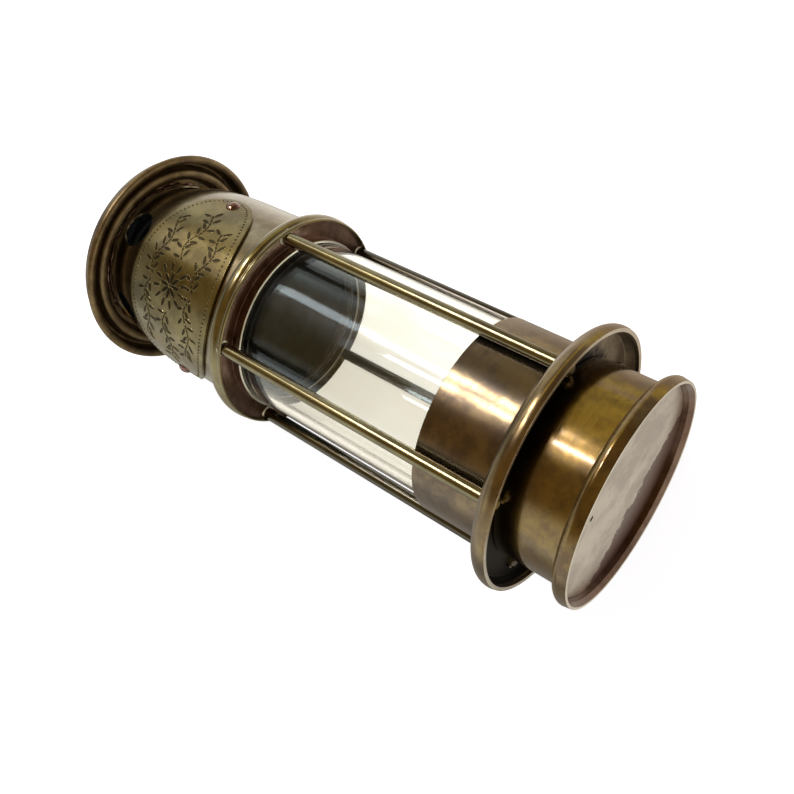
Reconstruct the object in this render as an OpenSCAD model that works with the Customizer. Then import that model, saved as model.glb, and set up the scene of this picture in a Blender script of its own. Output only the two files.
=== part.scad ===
// Small brass miner's lamp, standing upright on its foot.
// Millimetres, +Z up, origin at the middle of the plane that the foot stands on.
// From the bottom: oil tank, base ring with sleeve, glass between five pillars,
// upper ring, bonnet with a riveted plate, cap, and a folding ring on a swivel.

/* [Oil tank] */
// Radius of the straight tank body
tank_r = 26.7; // [22:0.1:32]
// Thickness of the tank's wall
tank_wall = 0.9; // [0.7:0.1:1.3]
// Height of the tank body, from the ground to its shoulder
tank_body_h = 21.2; // [15:0.1:32]
// Step from the tank body in to its neck
neck_step = 0.88; // [0.8:0.02:1.6]
// Height of the neck above the shoulder
neck_h = 9; // [6:0.5:12]
// Height of the half-round foot
foot_h = 4.4; // [3.6:0.1:6]
// How far the foot stands out past the tank body
foot_flare = 3.3; // [2.4:0.1:4.5]
// Depth of the bottom plate inside the foot
plate_recess = 2.6; // [1.4:0.1:2.8]
// Thickness of the bottom plate and of the top plate
tank_plate = 0.7; // [0.5:0.1:0.8]

/* [Burner] */
// Radius of the burner plug's flange
burner_flange_r = 9.5; // [8:0.1:13]
// Height of the burner plug's flange
burner_flange_h = 3; // [2:0.1:5]
// Radius of the burner plug's spigot
burner_spigot_r = 5.92; // [5:0.02:7]
// Depth of the spigot in the tank's filler neck
burner_spigot_h = 6; // [4:0.5:8]
// Wall of the filler neck round the spigot
filler_wall = 1.6; // [1:0.1:2]
// Height of the filler neck above the top plate
filler_h = 3.2; // [2:0.1:5]
// Width of the collar on which the filler neck sits
filler_collar_w = 1.2; // [0.8:0.1:2]
// Outer radius of the wick tube
wick_tube_r = 3; // [2.4:0.1:3.8]
// Wall of the wick tube
wick_tube_wall = 0.6; // [0.4:0.1:0.9]
// Height of the wick tube above the burner plug
wick_tube_h = 9.8; // [5:0.1:16]
// How far the wick stands out of its tube
wick_out = 3; // [1:0.5:6]

/* [Base ring and sleeve] */
// Height of the base ring
base_ring_h = 4.9; // [3.5:0.1:7]
// Thickness of the base ring's metal
base_wall = 1.4; // [1:0.1:1.8]
// Width of the base ring outside the pillars
base_margin = 4.7; // [4:0.1:8]
// Thickness of the socket ring that holds the tank's neck
socket_wall = 0.55; // [0.5:0.05:1]
// Height of the socket ring, which also carries the glass gallery
socket_h = 14.3; // [13.4:0.1:20]
// Thickness of the sleeve's wall
sleeve_wall = 0.6; // [0.5:0.1:1]
// Height of the sleeve above the base ring
sleeve_h = 21.9; // [20:0.1:30]

/* [Glass and pillars] */
// Gap between the sleeve and the glass
glass_gap = 1.6; // [1.4:0.1:3]
// Thickness of the glass
glass_wall = 2; // [1.5:0.1:3]
// Thickness of each gasket under and over the glass
gasket_t = 0.7; // [0.5:0.1:1.2]
// Length of the pillars between the base ring and the upper ring
pillar_len = 85.5; // [60:0.5:120]
// Diameter of a pillar
pillar_d = 3.6; // [3:0.1:5]
// Diameter of a pillar's tenons
tenon_d = 2.4; // [1.6:0.1:2.6]
// Direction of the first pillar, from the +X axis
pillar_turn = -50; // [-180:1:180]

/* [Upper ring] */
// Thickness of the upper ring's flange
flange_t = 3.2; // [2.6:0.1:5]
// How far the outer lip reaches below the flange
lip_drop = 1.3; // [0.8:0.1:2.5]
// How far the collar round the glass reaches below the flange
collar_drop = 2.7; // [1.5:0.1:5]
// Thickness of the lip and of the collar
lip_wall = 0.6; // [0.4:0.05:0.8]

/* [Bonnet] */
// Width of the upper ring's flat top outside the bonnet
bonnet_ledge = 3.65; // [3:0.05:6]
// Thickness of the bonnet's sheet
bonnet_wall = 0.7; // [0.5:0.1:1]
// Height of the bonnet's straight part
bonnet_straight_h = 22.4; // [15:0.1:34]
// Height of the bonnet's curved shoulder
bonnet_shoulder_h = 32.3; // [24:0.1:44]
// How far the shoulder draws in from the straight part to the top
bonnet_draw = 4.7; // [3:0.1:9]
// Width of the bonnet's turned-in flange, which the cap is soldered to
bonnet_flange_w = 4.1; // [2:0.1:6]
// Diameter of a vent
vent_d = 11; // [6:0.1:12]
// Height of the vents' centres above the start of the shoulder
vent_rise = 23.5; // [21:0.1:26]
// Direction of the first vent, from the +X axis
vent_turn = -84; // [-180:1:180]

/* [Name plate] */
// Half of the angle that the plate spans round the bonnet
plate_half_angle = 69; // [40:1:80]
// Height of the plate
plate_h = 34.6; // [20:0.1:38]
// Thickness of the plate
plate_t = 0.8; // [0.5:0.1:1.2]
// Height of the plate's centre above the upper ring
plate_rise = 21; // [20:0.1:24]
// Direction of the plate's centre, from the +X axis
plate_turn = -105; // [-180:1:180]
// Radius of a rivet's head
rivet_head_r = 2.1; // [1.6:0.1:2.6]
// Radius of a rivet's shank
rivet_shank_r = 1; // [0.7:0.1:1.3]
// Angle from a rivet to the plate's end
rivet_inset_angle = 8; // [7:0.5:14]

/* [Cap] */
// How far the cap's rim stands out past the bonnet's foot
cap_over = 5.3; // [4:0.1:8]
// Thickness of the cap's sheet
cap_sheet = 0.8; // [0.6:0.1:1.1]
// Radius of the rolled rim
rim_bead_r = 1.2; // [1:0.1:1.6]
// Height from the underside of the rim to the seat of the bonnet
cap_depth = 5.15; // [4.4:0.05:7]
// Radius of the cap's ring bead, across its section
ring_bead_r = 1.7; // [1.2:0.1:2]
// Distance from the rim's outer edge to the middle of the ring bead
ring_bead_inset = 6.05; // [5:0.05:7]
// Height of the cap's dome above the seat
dome_h = 4.1; // [2:0.1:8]

/* [Hanger] */
// Radius of the boss on the cap
boss_r = 6.5; // [5.6:0.1:9]
// Height of the boss
boss_h = 4.2; // [3:0.1:7]
// Radius of the swivel's shank
swivel_r = 2; // [1.8:0.1:2.4]
// Outer radius of the swivel's eye
eye_r = 4; // [3.8:0.1:5]
// Thickness of the eye
eye_t = 3.2; // [2.4:0.1:4]
// Radius of the hanging ring's wire
ring_wire_r = 1.4; // [1.1:0.05:1.6]
// Radius of the hanging ring, at the middle of its wire
ring_r = 12; // [11:0.5:14]

/* [Fits] */
// Radial clearance of pieces that slide or turn in each other
run_fit = 0.08; // [0.05:0.01:0.1]
// Radial clearance of pieces that are soldered or riveted together
join_fit = 0.05; // [0.02:0.01:0.08]
// Clearance between loose faces that stop against each other
seat_gap = 0.1; // [0.05:0.01:0.2]
// Radial clearance round the glass
glass_fit = 0.15; // [0.1:0.05:0.3]

/* [Hidden] */
$fn = 96;

brass = [0.60, 0.49, 0.24];
dark_brass = [0.42, 0.30, 0.17];
gold_brass = [0.66, 0.53, 0.22];
tinned = [0.72, 0.70, 0.64];
copper = [0.55, 0.33, 0.26];
clear_glass = [0.85, 0.9, 0.9, 0.35];
cotton = [0.9, 0.87, 0.78];
cork = [0.55, 0.42, 0.3];

// Steps along a quarter round and along a long arc
turn_steps = 8;
arc_steps = 14;

// Tank
tank_in_r = tank_r - tank_wall;
neck_r = tank_r - neck_step;
neck_in_r = neck_r - tank_wall;
tank_neck_z = tank_body_h + neck_h;
foot_r = tank_r + foot_flare;
foot_round_r = foot_h / 2;
foot_lip = 0.6;
recess_r = foot_r - 0.6 * foot_flare;
recess_top_z = plate_recess + tank_plate;
deck_top_z = tank_neck_z + tank_plate;
deck_rim_h = 1.5;
deck_rim_w = 0.9;

// Burner and wick
filler_bore_r = burner_spigot_r + run_fit;
filler_r = filler_bore_r + filler_wall;
filler_top_z = deck_top_z + filler_h;
burner_top_z = filler_top_z + burner_flange_h;
wick_tube_collar_r = wick_tube_r + 1.2;
wick_tube_collar_h = 0.8;
wick_tube_top_z = burner_top_z + wick_tube_h;
wick_r = wick_tube_r - wick_tube_wall - 0.1;
wick_floor_gap = 3;
knurl_count = 36;
knurl_r = 0.45;

// Base ring, socket and sleeve
base_under_z = tank_body_h + seat_gap;
base_top_z = base_under_z + base_wall;
base_lip_z = base_top_z - base_ring_h;
socket_in_r = neck_r + run_fit;
socket_r = socket_in_r + socket_wall;
sleeve_in_r = socket_r + join_fit;
sleeve_r = sleeve_in_r + sleeve_wall;
gallery_z = base_top_z + socket_h;

// Pillars
pillar_r = pillar_d / 2;
tenon_r = tenon_d / 2;
pillar_pitch_r = sleeve_r + join_fit + pillar_r;
washer_t = 0.8;
washer_r = min(pillar_r + 0.1, pillar_pitch_r - tank_r - 0.35);
burr_h = 0.7;
base_outer_r = pillar_pitch_r + pillar_r + base_margin;
base_taper = 0.9;
base_round_r = 1.8;
flange_z = base_top_z + pillar_len;

// Glass and what holds it
glass_r = sleeve_in_r - glass_gap;
glass_in_r = glass_r - glass_wall;
gallery_t = 1.2;
gallery_rim_h = 3.3;
gallery_rim_w = 0.7;
gallery_hole_r = glass_in_r - 3;
glass_z = gallery_z + gallery_t + gasket_t;
glass_top_z = flange_z - gasket_t;

// Upper ring
flange_hole_r = glass_in_r + 0.6;
flange_top_z = flange_z + flange_t;
lip_in_r = pillar_pitch_r + pillar_r + join_fit;
lip_r = lip_in_r + lip_wall;
upper_ring_r = lip_r + 0.35;
collar_in_r = glass_r + glass_fit;
rebate = 0.8;
tenon_up_h = 1.6;

// Bonnet
bonnet_r = upper_ring_r - bonnet_ledge;
bonnet_z = flange_top_z - rebate;
shoulder_z = bonnet_z + bonnet_straight_h;
bonnet_top_z = shoulder_z + bonnet_shoulder_h;
bonnet_taper = 0.4;
shoulder_r = bonnet_r - bonnet_taper;
shoulder_arc_r = (bonnet_shoulder_h * bonnet_shoulder_h + bonnet_draw * bonnet_draw)
    / (2 * bonnet_draw);
shoulder_sweep = asin(bonnet_shoulder_h / shoulder_arc_r);
neck_top_r = shoulder_r - bonnet_draw;
vent_count = 6;
vent_slope = asin(vent_rise / shoulder_arc_r);
vent_r = shoulder_r - shoulder_arc_r * (1 - cos(vent_slope));
vent_z = shoulder_z + vent_rise;

// Name plate
plate_z = flange_top_z + plate_rise;
plate_steps = 64;
rivet_angle = plate_half_angle - rivet_inset_angle;
rivet_head_h = 1.1;
rivet_tail_h = 0.7;
rivet_tail_r = 0.8 * rivet_head_r;
wall_slant = atan(bonnet_taper / bonnet_straight_h);
rivet_seat_r = bonnet_r - bonnet_taper * min((plate_z - bonnet_z) / bonnet_straight_h, 1)
    + join_fit + plate_t;
rivet_grip = plate_t + join_fit + bonnet_wall
    + rivet_tail_r * rivet_tail_r / (2 * (bonnet_r - bonnet_taper - bonnet_wall));

// Cap
cap_r = bonnet_r + cap_over;
rim_z = bonnet_top_z - cap_depth;
ring_bead_at = cap_r - ring_bead_inset;
bead_rise = 0.15;
cove_r = 0.8;
dome_swell = 0.12;
dome_land_r = boss_r + 1;
dome_foot_r = neck_top_r - bonnet_wall - bonnet_flange_w;
cap_top_z = bonnet_top_z + cap_sheet + dome_h;
cap_hole_r = 3.25;

// Hanger
boss_step_h = 0.48 * boss_h;
boss_neck_r = 0.65 * boss_r;
boss_top_z = cap_top_z + boss_h;
boss_spigot_drop = 0.6;
boss_edge = 0.5;
swivel_collar_r = swivel_r + 1.4;
swivel_collar_h = 1;
eye_hole_r = ring_wire_r + 0.35;
eye_z = boss_top_z + seat_gap + swivel_collar_h + 0.9 * eye_r;
swivel_stop_z = cap_top_z - cap_sheet - boss_spigot_drop - 2 * seat_gap;
swivel_tip_r = swivel_r - 0.5;
ring_rest_z = bonnet_top_z + cap_sheet + ring_wire_r + 0.3;
ring_drop_angle = asin((eye_z - ring_rest_z) / (2 * ring_r));

// Points on an arc round c, from angle a to angle b
function arc(c, r, a, b, n) =
    [for (i = [0 : n]) c + r * [cos(a + (b - a) * i / n), sin(a + (b - a) * i / n)]];

// Direction along a path at point i
function along(p, i) =
    let (d = p[min(i + 1, len(p) - 1)] - p[max(i - 1, 0)]) d / norm(d);

// A path moved sideways by t, to the right of its direction
function beside(p, t) =
    [for (i = [0 : len(p) - 1]) p[i] + t * [along(p, i)[1], -along(p, i)[0]]];

function reversed(p) = [for (i = [len(p) - 1 : -1 : 0]) p[i]];

// Closed outline of a sheet of thickness t that lies to the right of a path
function sheet(p, t) = concat(p, reversed(beside(p, t)));

// Outer surface of the bonnet, from its foot to the end of its shoulder, moved out by d
function bonnet_path(d) = beside(concat(
    [[bonnet_r, bonnet_z]],
    arc([shoulder_r - shoulder_arc_r, shoulder_z], shoulder_arc_r, 0, shoulder_sweep, arc_steps)), d);

// A body of revolution from its outline in the XZ half plane
module spun(outline) {
    rotate_extrude()
        polygon(outline);
}

// A tube between two heights
module tube(r_out, r_in, z, h) {
    translate([0, 0, z])
        difference() {
            cylinder(r = r_out, h = h);
            translate([0, 0, -1])
                cylinder(r = r_in, h = h + 2);
        }
}

// Copies its child once for each pillar
module at_pillars() {
    for (i = [0 : 4])
        rotate([0, 0, pillar_turn + 72 * i])
            translate([pillar_pitch_r, 0, 0])
                children();
}

module oil_tank() {
    foot_c = [foot_r - foot_round_r, foot_h / 2];
    corner = 180 - acos((foot_c[0] - tank_r) / foot_round_r);
    color(brass)
        spun(concat(
            [[neck_in_r, tank_neck_z], [neck_in_r, tank_body_h - tank_wall],
                [tank_in_r, tank_body_h - tank_wall], [tank_in_r, recess_top_z],
                [recess_r, recess_top_z], [recess_r, 2 * foot_lip],
                [foot_r - 2 * foot_lip, foot_lip / 2], [foot_r - 1.6 * foot_lip, 0],
                [foot_r - 0.6 * foot_lip, 0], [foot_r - foot_lip / 4, foot_lip / 2]],
            arc(foot_c, foot_round_r, 0, corner, turn_steps),
            [[tank_r, tank_body_h], [neck_r, tank_body_h], [neck_r, tank_neck_z]]));
}

module tank_bottom() {
    color(tinned)
        translate([0, 0, plate_recess])
            cylinder(r = recess_r - join_fit, h = tank_plate);
}

module tank_deck() {
    rim_r = neck_in_r - join_fit;
    hole_r = filler_r + join_fit;
    color(dark_brass)
        spun([[hole_r, tank_neck_z], [rim_r - deck_rim_w, tank_neck_z],
            [rim_r - deck_rim_w, tank_neck_z - deck_rim_h],
            [rim_r, tank_neck_z - deck_rim_h], [rim_r, tank_neck_z], [neck_r, tank_neck_z],
            [neck_r, deck_top_z], [hole_r, deck_top_z]]);
}

module filler_neck() {
    collar_r = filler_r + filler_collar_w;
    low_z = tank_neck_z - deck_rim_h;
    color(dark_brass)
        spun([[filler_bore_r, low_z], [filler_r, low_z], [filler_r, deck_top_z],
            [collar_r, deck_top_z], [collar_r, deck_top_z + tank_plate],
            [filler_r, deck_top_z + tank_plate], [filler_r, filler_top_z],
            [filler_bore_r, filler_top_z]]);
}

module burner_plug() {
    bore_r = wick_tube_r + join_fit;
    color(gold_brass)
        difference() {
            union() {
                translate([0, 0, filler_top_z])
                    cylinder(r = burner_flange_r, h = burner_flange_h);
                translate([0, 0, filler_top_z - burner_spigot_h])
                    cylinder(r = burner_spigot_r, h = burner_spigot_h + burner_flange_h / 2);
            }
            cylinder(r = bore_r, h = burner_top_z + 1);
            for (i = [0 : knurl_count - 1])
                rotate([0, 0, 360 / knurl_count * i])
                    translate([burner_flange_r + knurl_r / 3, 0, filler_top_z - 1])
                        cylinder(r = knurl_r, h = burner_flange_h + 2, $fn = 16);
        }
}

module wick_tube() {
    in_r = wick_tube_r - wick_tube_wall;
    color(gold_brass)
        spun([[in_r, filler_top_z - burner_spigot_h], [wick_tube_r, filler_top_z - burner_spigot_h],
            [wick_tube_r, burner_top_z], [wick_tube_collar_r, burner_top_z],
            [wick_tube_collar_r, burner_top_z + wick_tube_collar_h],
            [wick_tube_r, burner_top_z + wick_tube_collar_h], [wick_tube_r, wick_tube_top_z],
            [in_r, wick_tube_top_z]]);
}

module wick() {
    foot_z = recess_top_z + wick_floor_gap;
    color(cotton)
        translate([0, 0, foot_z])
            cylinder(r = wick_r, h = wick_tube_top_z + wick_out - foot_z);
}

module base_ring() {
    round_c = [base_outer_r - base_taper - base_round_r, base_top_z - base_round_r];
    edge = concat([[socket_in_r, base_top_z]],
        arc(round_c, base_round_r, 90, 12, turn_steps),
        [[base_outer_r, base_lip_z + base_wall], [base_outer_r, base_lip_z]]);
    color(brass)
        difference() {
            spun(sheet(edge, base_wall));
            at_pillars()
                translate([0, 0, base_under_z - 1])
                    cylinder(r = tenon_r + join_fit, h = base_wall + 2, $fn = 32);
        }
}

module tank_socket() {
    color(dark_brass)
        tube(socket_r, socket_in_r, base_top_z, socket_h);
}

module lower_sleeve() {
    color(brass)
        tube(sleeve_r, sleeve_in_r, base_top_z, sleeve_h);
}

module glass_gallery() {
    rim_in_r = glass_r + glass_fit;
    rim_r = rim_in_r + gallery_rim_w;
    floor_z = gallery_z + gallery_t;
    color(dark_brass)
        spun([[gallery_hole_r, gallery_z], [socket_r, gallery_z], [socket_r, floor_z],
            [rim_r, floor_z], [rim_r, floor_z + gallery_rim_h], [rim_in_r, floor_z + gallery_rim_h],
            [rim_in_r, floor_z], [gallery_hole_r, floor_z]]);
}

module gasket(z) {
    color(cork)
        tube(glass_r, glass_in_r, z, gasket_t);
}

module lower_gasket() {
    gasket(gallery_z + gallery_t);
}

module upper_gasket() {
    gasket(glass_top_z);
}

module glass_chimney() {
    color(clear_glass)
        tube(glass_r, glass_in_r, glass_z, glass_top_z - glass_z);
}

module upper_ring() {
    bead_c = [lip_r - lip_wall, flange_z - lip_drop + lip_wall];
    band_r = 2.6;
    band_c = [upper_ring_r - band_r, flange_top_z - flange_t / 2];
    band_half = asin((flange_t / 2) / band_r);
    color(gold_brass)
        difference() {
            spun(concat(
                [[flange_hole_r, flange_z], [collar_in_r, flange_z],
                    [collar_in_r, flange_z - collar_drop],
                    [collar_in_r + lip_wall, flange_z - collar_drop],
                    [collar_in_r + lip_wall, flange_z], [lip_in_r, flange_z],
                    [lip_in_r, flange_z - lip_drop + lip_wall / 2]],
                arc(bead_c, lip_wall, -90, 0, turn_steps),
                arc(band_c, band_r, -band_half, band_half, turn_steps),
                [[bonnet_r + join_fit, flange_top_z], [bonnet_r + join_fit, bonnet_z],
                    [flange_hole_r, bonnet_z]]));
            at_pillars()
                translate([0, 0, flange_z - 1])
                    cylinder(r = tenon_r + join_fit, h = tenon_up_h + seat_gap + 1, $fn = 32);
        }
}

// One pillar with a tenon at each end, the lower one riveted over its washer
module pillar(i) {
    burr_r = tenon_r + 0.4;
    burr_top_z = base_under_z - washer_t;
    color(brass)
        rotate([0, 0, pillar_turn + 72 * (i - 1)])
            translate([pillar_pitch_r, 0, 0])
                rotate_extrude($fn = 48)
                    polygon([[0, burr_top_z - burr_h], [0.6 * burr_r, burr_top_z - burr_h],
                        [burr_r, burr_top_z - 0.4 * burr_h], [burr_r, burr_top_z],
                        [tenon_r, burr_top_z], [tenon_r, base_top_z], [pillar_r, base_top_z],
                        [pillar_r, flange_z], [tenon_r, flange_z],
                        [tenon_r, flange_z + tenon_up_h], [0, flange_z + tenon_up_h]]);
}

module pillar_washers() {
    color(tinned)
        at_pillars()
            translate([0, 0, base_under_z - washer_t])
                difference() {
                    cylinder(r = washer_r, h = washer_t, $fn = 32);
                    translate([0, 0, -1])
                        cylinder(r = tenon_r + join_fit, h = washer_t + 2, $fn = 32);
                }
}

// Puts its child on the face of the name plate near each end, with +Z pointing out of the plate
module at_rivets() {
    for (side = [-1, 1])
        rotate([0, 0, plate_turn + side * rivet_angle])
            translate([rivet_seat_r, 0, plate_z])
                rotate([0, 90 - wall_slant, 0])
                    children();
}

// Holes for the shanks of the rivets
module rivet_holes() {
    at_rivets()
        translate([0, 0, -2 * rivet_grip])
            cylinder(r = rivet_shank_r + join_fit, h = 3 * rivet_grip, $fn = 32);
}

module bonnet() {
    color(dark_brass)
        difference() {
            union() {
                spun(sheet(bonnet_path(0), -bonnet_wall));
                translate([0, 0, bonnet_top_z - bonnet_wall])
                    spun([[dome_foot_r, 0], [neck_top_r + 0.3 * bonnet_wall, 0], [neck_top_r, bonnet_wall],
                        [dome_foot_r, bonnet_wall]]);
            }
            for (i = [0 : vent_count - 1])
                rotate([0, 0, vent_turn + 60 * i])
                    translate([vent_r, 0, vent_z])
                        rotate([0, 90 - vent_slope, 0])
                            translate([0, 0, -4])
                                cylinder(r = vent_d / 2, h = 8, $fn = 64);
            rivet_holes();
            translate([0, 0, bonnet_z - 1])
                cylinder(r = bonnet_r + 1, h = 1);
        }
}

// The plate's elliptical outline, as it looks from straight in front once it is bent round
function plate_outline() = [for (i = [0 : plate_steps - 1])
    let (a = 360 * i / plate_steps)
    [(bonnet_r + plate_t) * sin(plate_half_angle * cos(a)), plate_h / 2 * sin(a)]];

module name_plate() {
    color(gold_brass)
        difference() {
            intersection() {
                spun(sheet(bonnet_path(join_fit), plate_t));
                rotate([0, 0, plate_turn + 90])
                    translate([0, 0, plate_z])
                        rotate([90, 0, 0])
                            linear_extrude(bonnet_r + 2 * plate_t)
                                polygon(plate_outline());
            }
            rivet_holes();
        }
}

module plate_rivets() {
    color(copper)
        at_rivets()
            rotate_extrude($fn = 48)
                polygon(concat(
                    [[0, -rivet_grip - rivet_tail_h], [rivet_tail_r, -rivet_grip - rivet_tail_h],
                        [rivet_tail_r, -rivet_grip], [rivet_shank_r, -rivet_grip], [rivet_shank_r, 0]],
                    dome(rivet_head_r, rivet_head_h)));
}

// Outline of a low dome of radius r and height h
function dome(r, h) =
    let (big_r = (r * r + h * h) / (2 * h), half = asin(r / big_r))
    arc([0, h - big_r], big_r, 90 - half, 90, turn_steps);

module cap() {
    rim_c = [cap_r - rim_bead_r, rim_z + rim_bead_r];
    bead_c = [ring_bead_at, rim_c[1] + ring_bead_r - bead_rise];
    cove_c = [ring_bead_at + ring_bead_r + 1.2 * cove_r, bead_c[1] + 0.75 * ring_bead_r];
    path = concat(
        [rim_c, [cove_c[0] + 1.2 * cove_r, bead_c[1] + 0.9 * ring_bead_r]],
        arc(cove_c, cove_r, 40, 165, turn_steps),
        arc(bead_c, ring_bead_r, 0, -180, 2 * turn_steps),
        [[ring_bead_at - 1.3 * ring_bead_r, bonnet_top_z], [dome_foot_r, bonnet_top_z]],
        arc_between([dome_foot_r, bonnet_top_z], [dome_land_r, bonnet_top_z + dome_h], 6),
        [[cap_hole_r, bonnet_top_z + dome_h]]);
    color(brass)
        union() {
            spun(sheet(path, cap_sheet));
            rotate_extrude()
                translate(rim_c)
                    circle(r = rim_bead_r, $fn = 32);
        }
}

// Points between a and b on a shallow swelling curve, without its ends
function arc_between(a, b, n) = [for (i = [1 : n])
    let (t = i / n) a + (b - a) * t + [0, dome_swell * norm(b - a) * sin(180 * t)]];

module hanger_boss() {
    bore_r = swivel_r + run_fit;
    spigot_r = cap_hole_r - join_fit;
    step_z = cap_top_z + boss_step_h;
    color(gold_brass)
        spun(concat(
            [[bore_r, cap_top_z - cap_sheet - boss_spigot_drop],
                [spigot_r, cap_top_z - cap_sheet - boss_spigot_drop], [spigot_r, cap_top_z],
                [boss_r, cap_top_z], [boss_r, step_z - boss_edge], [boss_r - boss_edge, step_z]],
            arc([boss_r - boss_edge, boss_top_z - boss_edge], boss_r - boss_edge - boss_neck_r,
                250, 180, turn_steps),
            [[boss_neck_r - boss_edge, boss_top_z], [bore_r, boss_top_z]]));
}

module swivel_eye() {
    collar_z = boss_top_z + seat_gap;
    tip_z = swivel_stop_z - washer_t;
    head_r = swivel_tip_r + 0.9;
    color(brass)
        difference() {
            union() {
                rotate_extrude($fn = 48)
                    polygon([[0, tip_z - 0.8], [head_r, tip_z - 0.8], [head_r, tip_z],
                        [swivel_tip_r, tip_z], [swivel_tip_r, swivel_stop_z],
                        [swivel_r, swivel_stop_z], [swivel_r, collar_z],
                        [swivel_collar_r, collar_z], [swivel_collar_r, collar_z + swivel_collar_h],
                        [0.55 * eye_r, collar_z + swivel_collar_h + 0.6],
                        [0.4 * eye_r, collar_z + swivel_collar_h + 0.6], [0, eye_z - eye_hole_r - 0.5]]);
                translate([0, 0, eye_z])
                    rotate([0, 90, 0])
                        cylinder(r = eye_r, h = eye_t, center = true, $fn = 64);
            }
            translate([0, 0, eye_z])
                rotate([0, 90, 0])
                    cylinder(r = eye_hole_r, h = eye_t + 2, center = true, $fn = 48);
        }
}

module swivel_washer() {
    color(tinned)
        tube(swivel_r + 2.2, swivel_tip_r + join_fit, swivel_stop_z - washer_t, washer_t);
}

module hanging_ring() {
    color(brass)
        translate([0, 0, eye_z])
            rotate([-ring_drop_angle, 0, 0])
                translate([0, ring_r, 0])
                    rotate_extrude($fn = 96)
                        translate([ring_r, 0])
                            circle(r = ring_wire_r, $fn = 32);
}

oil_tank();
tank_bottom();
tank_deck();
filler_neck();
burner_plug();
wick_tube();
wick();
base_ring();
tank_socket();
lower_sleeve();
glass_gallery();
lower_gasket();
glass_chimney();
upper_gasket();
upper_ring();
pillar(1);  // pillar_1
pillar(2);  // pillar_2
pillar(3);  // pillar_3
pillar(4);  // pillar_4
pillar(5);  // pillar_5
pillar_washers();
bonnet();
name_plate();
plate_rivets();
cap();
hanger_boss();
swivel_eye();
swivel_washer();
hanging_ring();
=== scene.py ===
"""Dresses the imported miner's lamp: turned and spun brass, clear glass, a riveted plate, a folding ring."""
import logging
import math
from collections.abc import Callable, Sequence
from dataclasses import dataclass, field
from enum import Enum

import bmesh
import bpy
from mathutils import Matrix, Vector, noise


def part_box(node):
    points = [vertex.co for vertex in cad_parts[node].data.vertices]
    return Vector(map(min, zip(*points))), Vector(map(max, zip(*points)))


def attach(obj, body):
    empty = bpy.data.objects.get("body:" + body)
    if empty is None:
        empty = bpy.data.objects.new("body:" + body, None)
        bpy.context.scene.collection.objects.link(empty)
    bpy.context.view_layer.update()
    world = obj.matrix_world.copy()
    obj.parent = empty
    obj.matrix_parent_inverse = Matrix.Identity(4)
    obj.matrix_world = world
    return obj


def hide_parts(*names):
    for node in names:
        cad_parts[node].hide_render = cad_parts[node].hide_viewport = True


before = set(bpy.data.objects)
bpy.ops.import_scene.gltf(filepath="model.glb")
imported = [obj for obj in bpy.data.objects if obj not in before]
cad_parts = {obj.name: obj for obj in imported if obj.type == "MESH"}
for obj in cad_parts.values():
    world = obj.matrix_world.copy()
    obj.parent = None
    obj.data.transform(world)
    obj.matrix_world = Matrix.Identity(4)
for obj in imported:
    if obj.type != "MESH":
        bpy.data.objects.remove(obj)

MM = 0.001  # metres; sizes are in millimetres and angles in degrees, unless a line says otherwise
MERGE = 1e-6  # metres within which vertices are one
ON_AXIS = 1e-6  # millimetres within which a point lies on the lamp's axis
CREASE = 32  # degrees from which an edge stays sharp
SHARP_CORNER = 35  # degrees from which a corner of an outline is rounded
DOWNWARD = -0.6  # height of the normal below which a face looks down
UPWARD = 0.5  # height of the normal from which a face looks up
LEVEL = 0.9  # height of the normal above which a face lies level
GREY = 0.5  # value that a noise wanders about
Pair = tuple[float, float]
Rgb = tuple[float, float, float]
Triple = tuple[float, float, float]
Rule = Callable[[Vector, Vector], bool]
log = logging.getLogger("lamp")


class Body(Enum):
    """The bodies that move against each other."""

    CAGE = "cage"
    TANK = "tank"
    BURNER = "burner"
    WICK = "wick"
    SWIVEL = "swivel"
    RING = "ring"


class Slot(Enum):
    """The finishes that the record names."""

    POLISHED = "polished_brass"
    GOLDEN = "golden_brass"
    DARK = "dark_brass"
    TINNED = "tinned_plate"
    COPPER = "copper_rivet"
    GLASS = "clear_glass"
    COTTON = "cotton_wick"
    CORK = "cork_gasket"


@dataclass(frozen=True)
class Extent:
    """How far a node reaches from the lamp's axis and along it, in millimetres."""

    radius: float
    low: float
    high: float

    @classmethod
    def of(cls, node: str) -> "Extent":
        """Measures a node of the frame.

        Args:
            node: Name of a node that is round about the lamp's axis.

        Returns:
            Its outer radius and its lowest and highest level.
        """
        low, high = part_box(node)
        return cls(high.x / MM, low.z / MM, high.z / MM)


def arc(centre: Pair, radius: float, start: float, end: float, steps: int = 14) -> list[Pair]:
    """Points on an arc in the plane of radius and height.

    Args:
        centre: Radius and height of the arc's centre.
        radius: Radius of the arc.
        start: Angle of the first point, in degrees from the outward direction.
        end: Angle of the last point.
        steps: Number of chords.

    Returns:
        The points from start to end, both included.
    """
    turns = [math.radians(start + (end - start) * i / steps) for i in range(steps + 1)]
    return [(centre[0] + radius * math.cos(a), centre[1] + radius * math.sin(a)) for a in turns]


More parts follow.
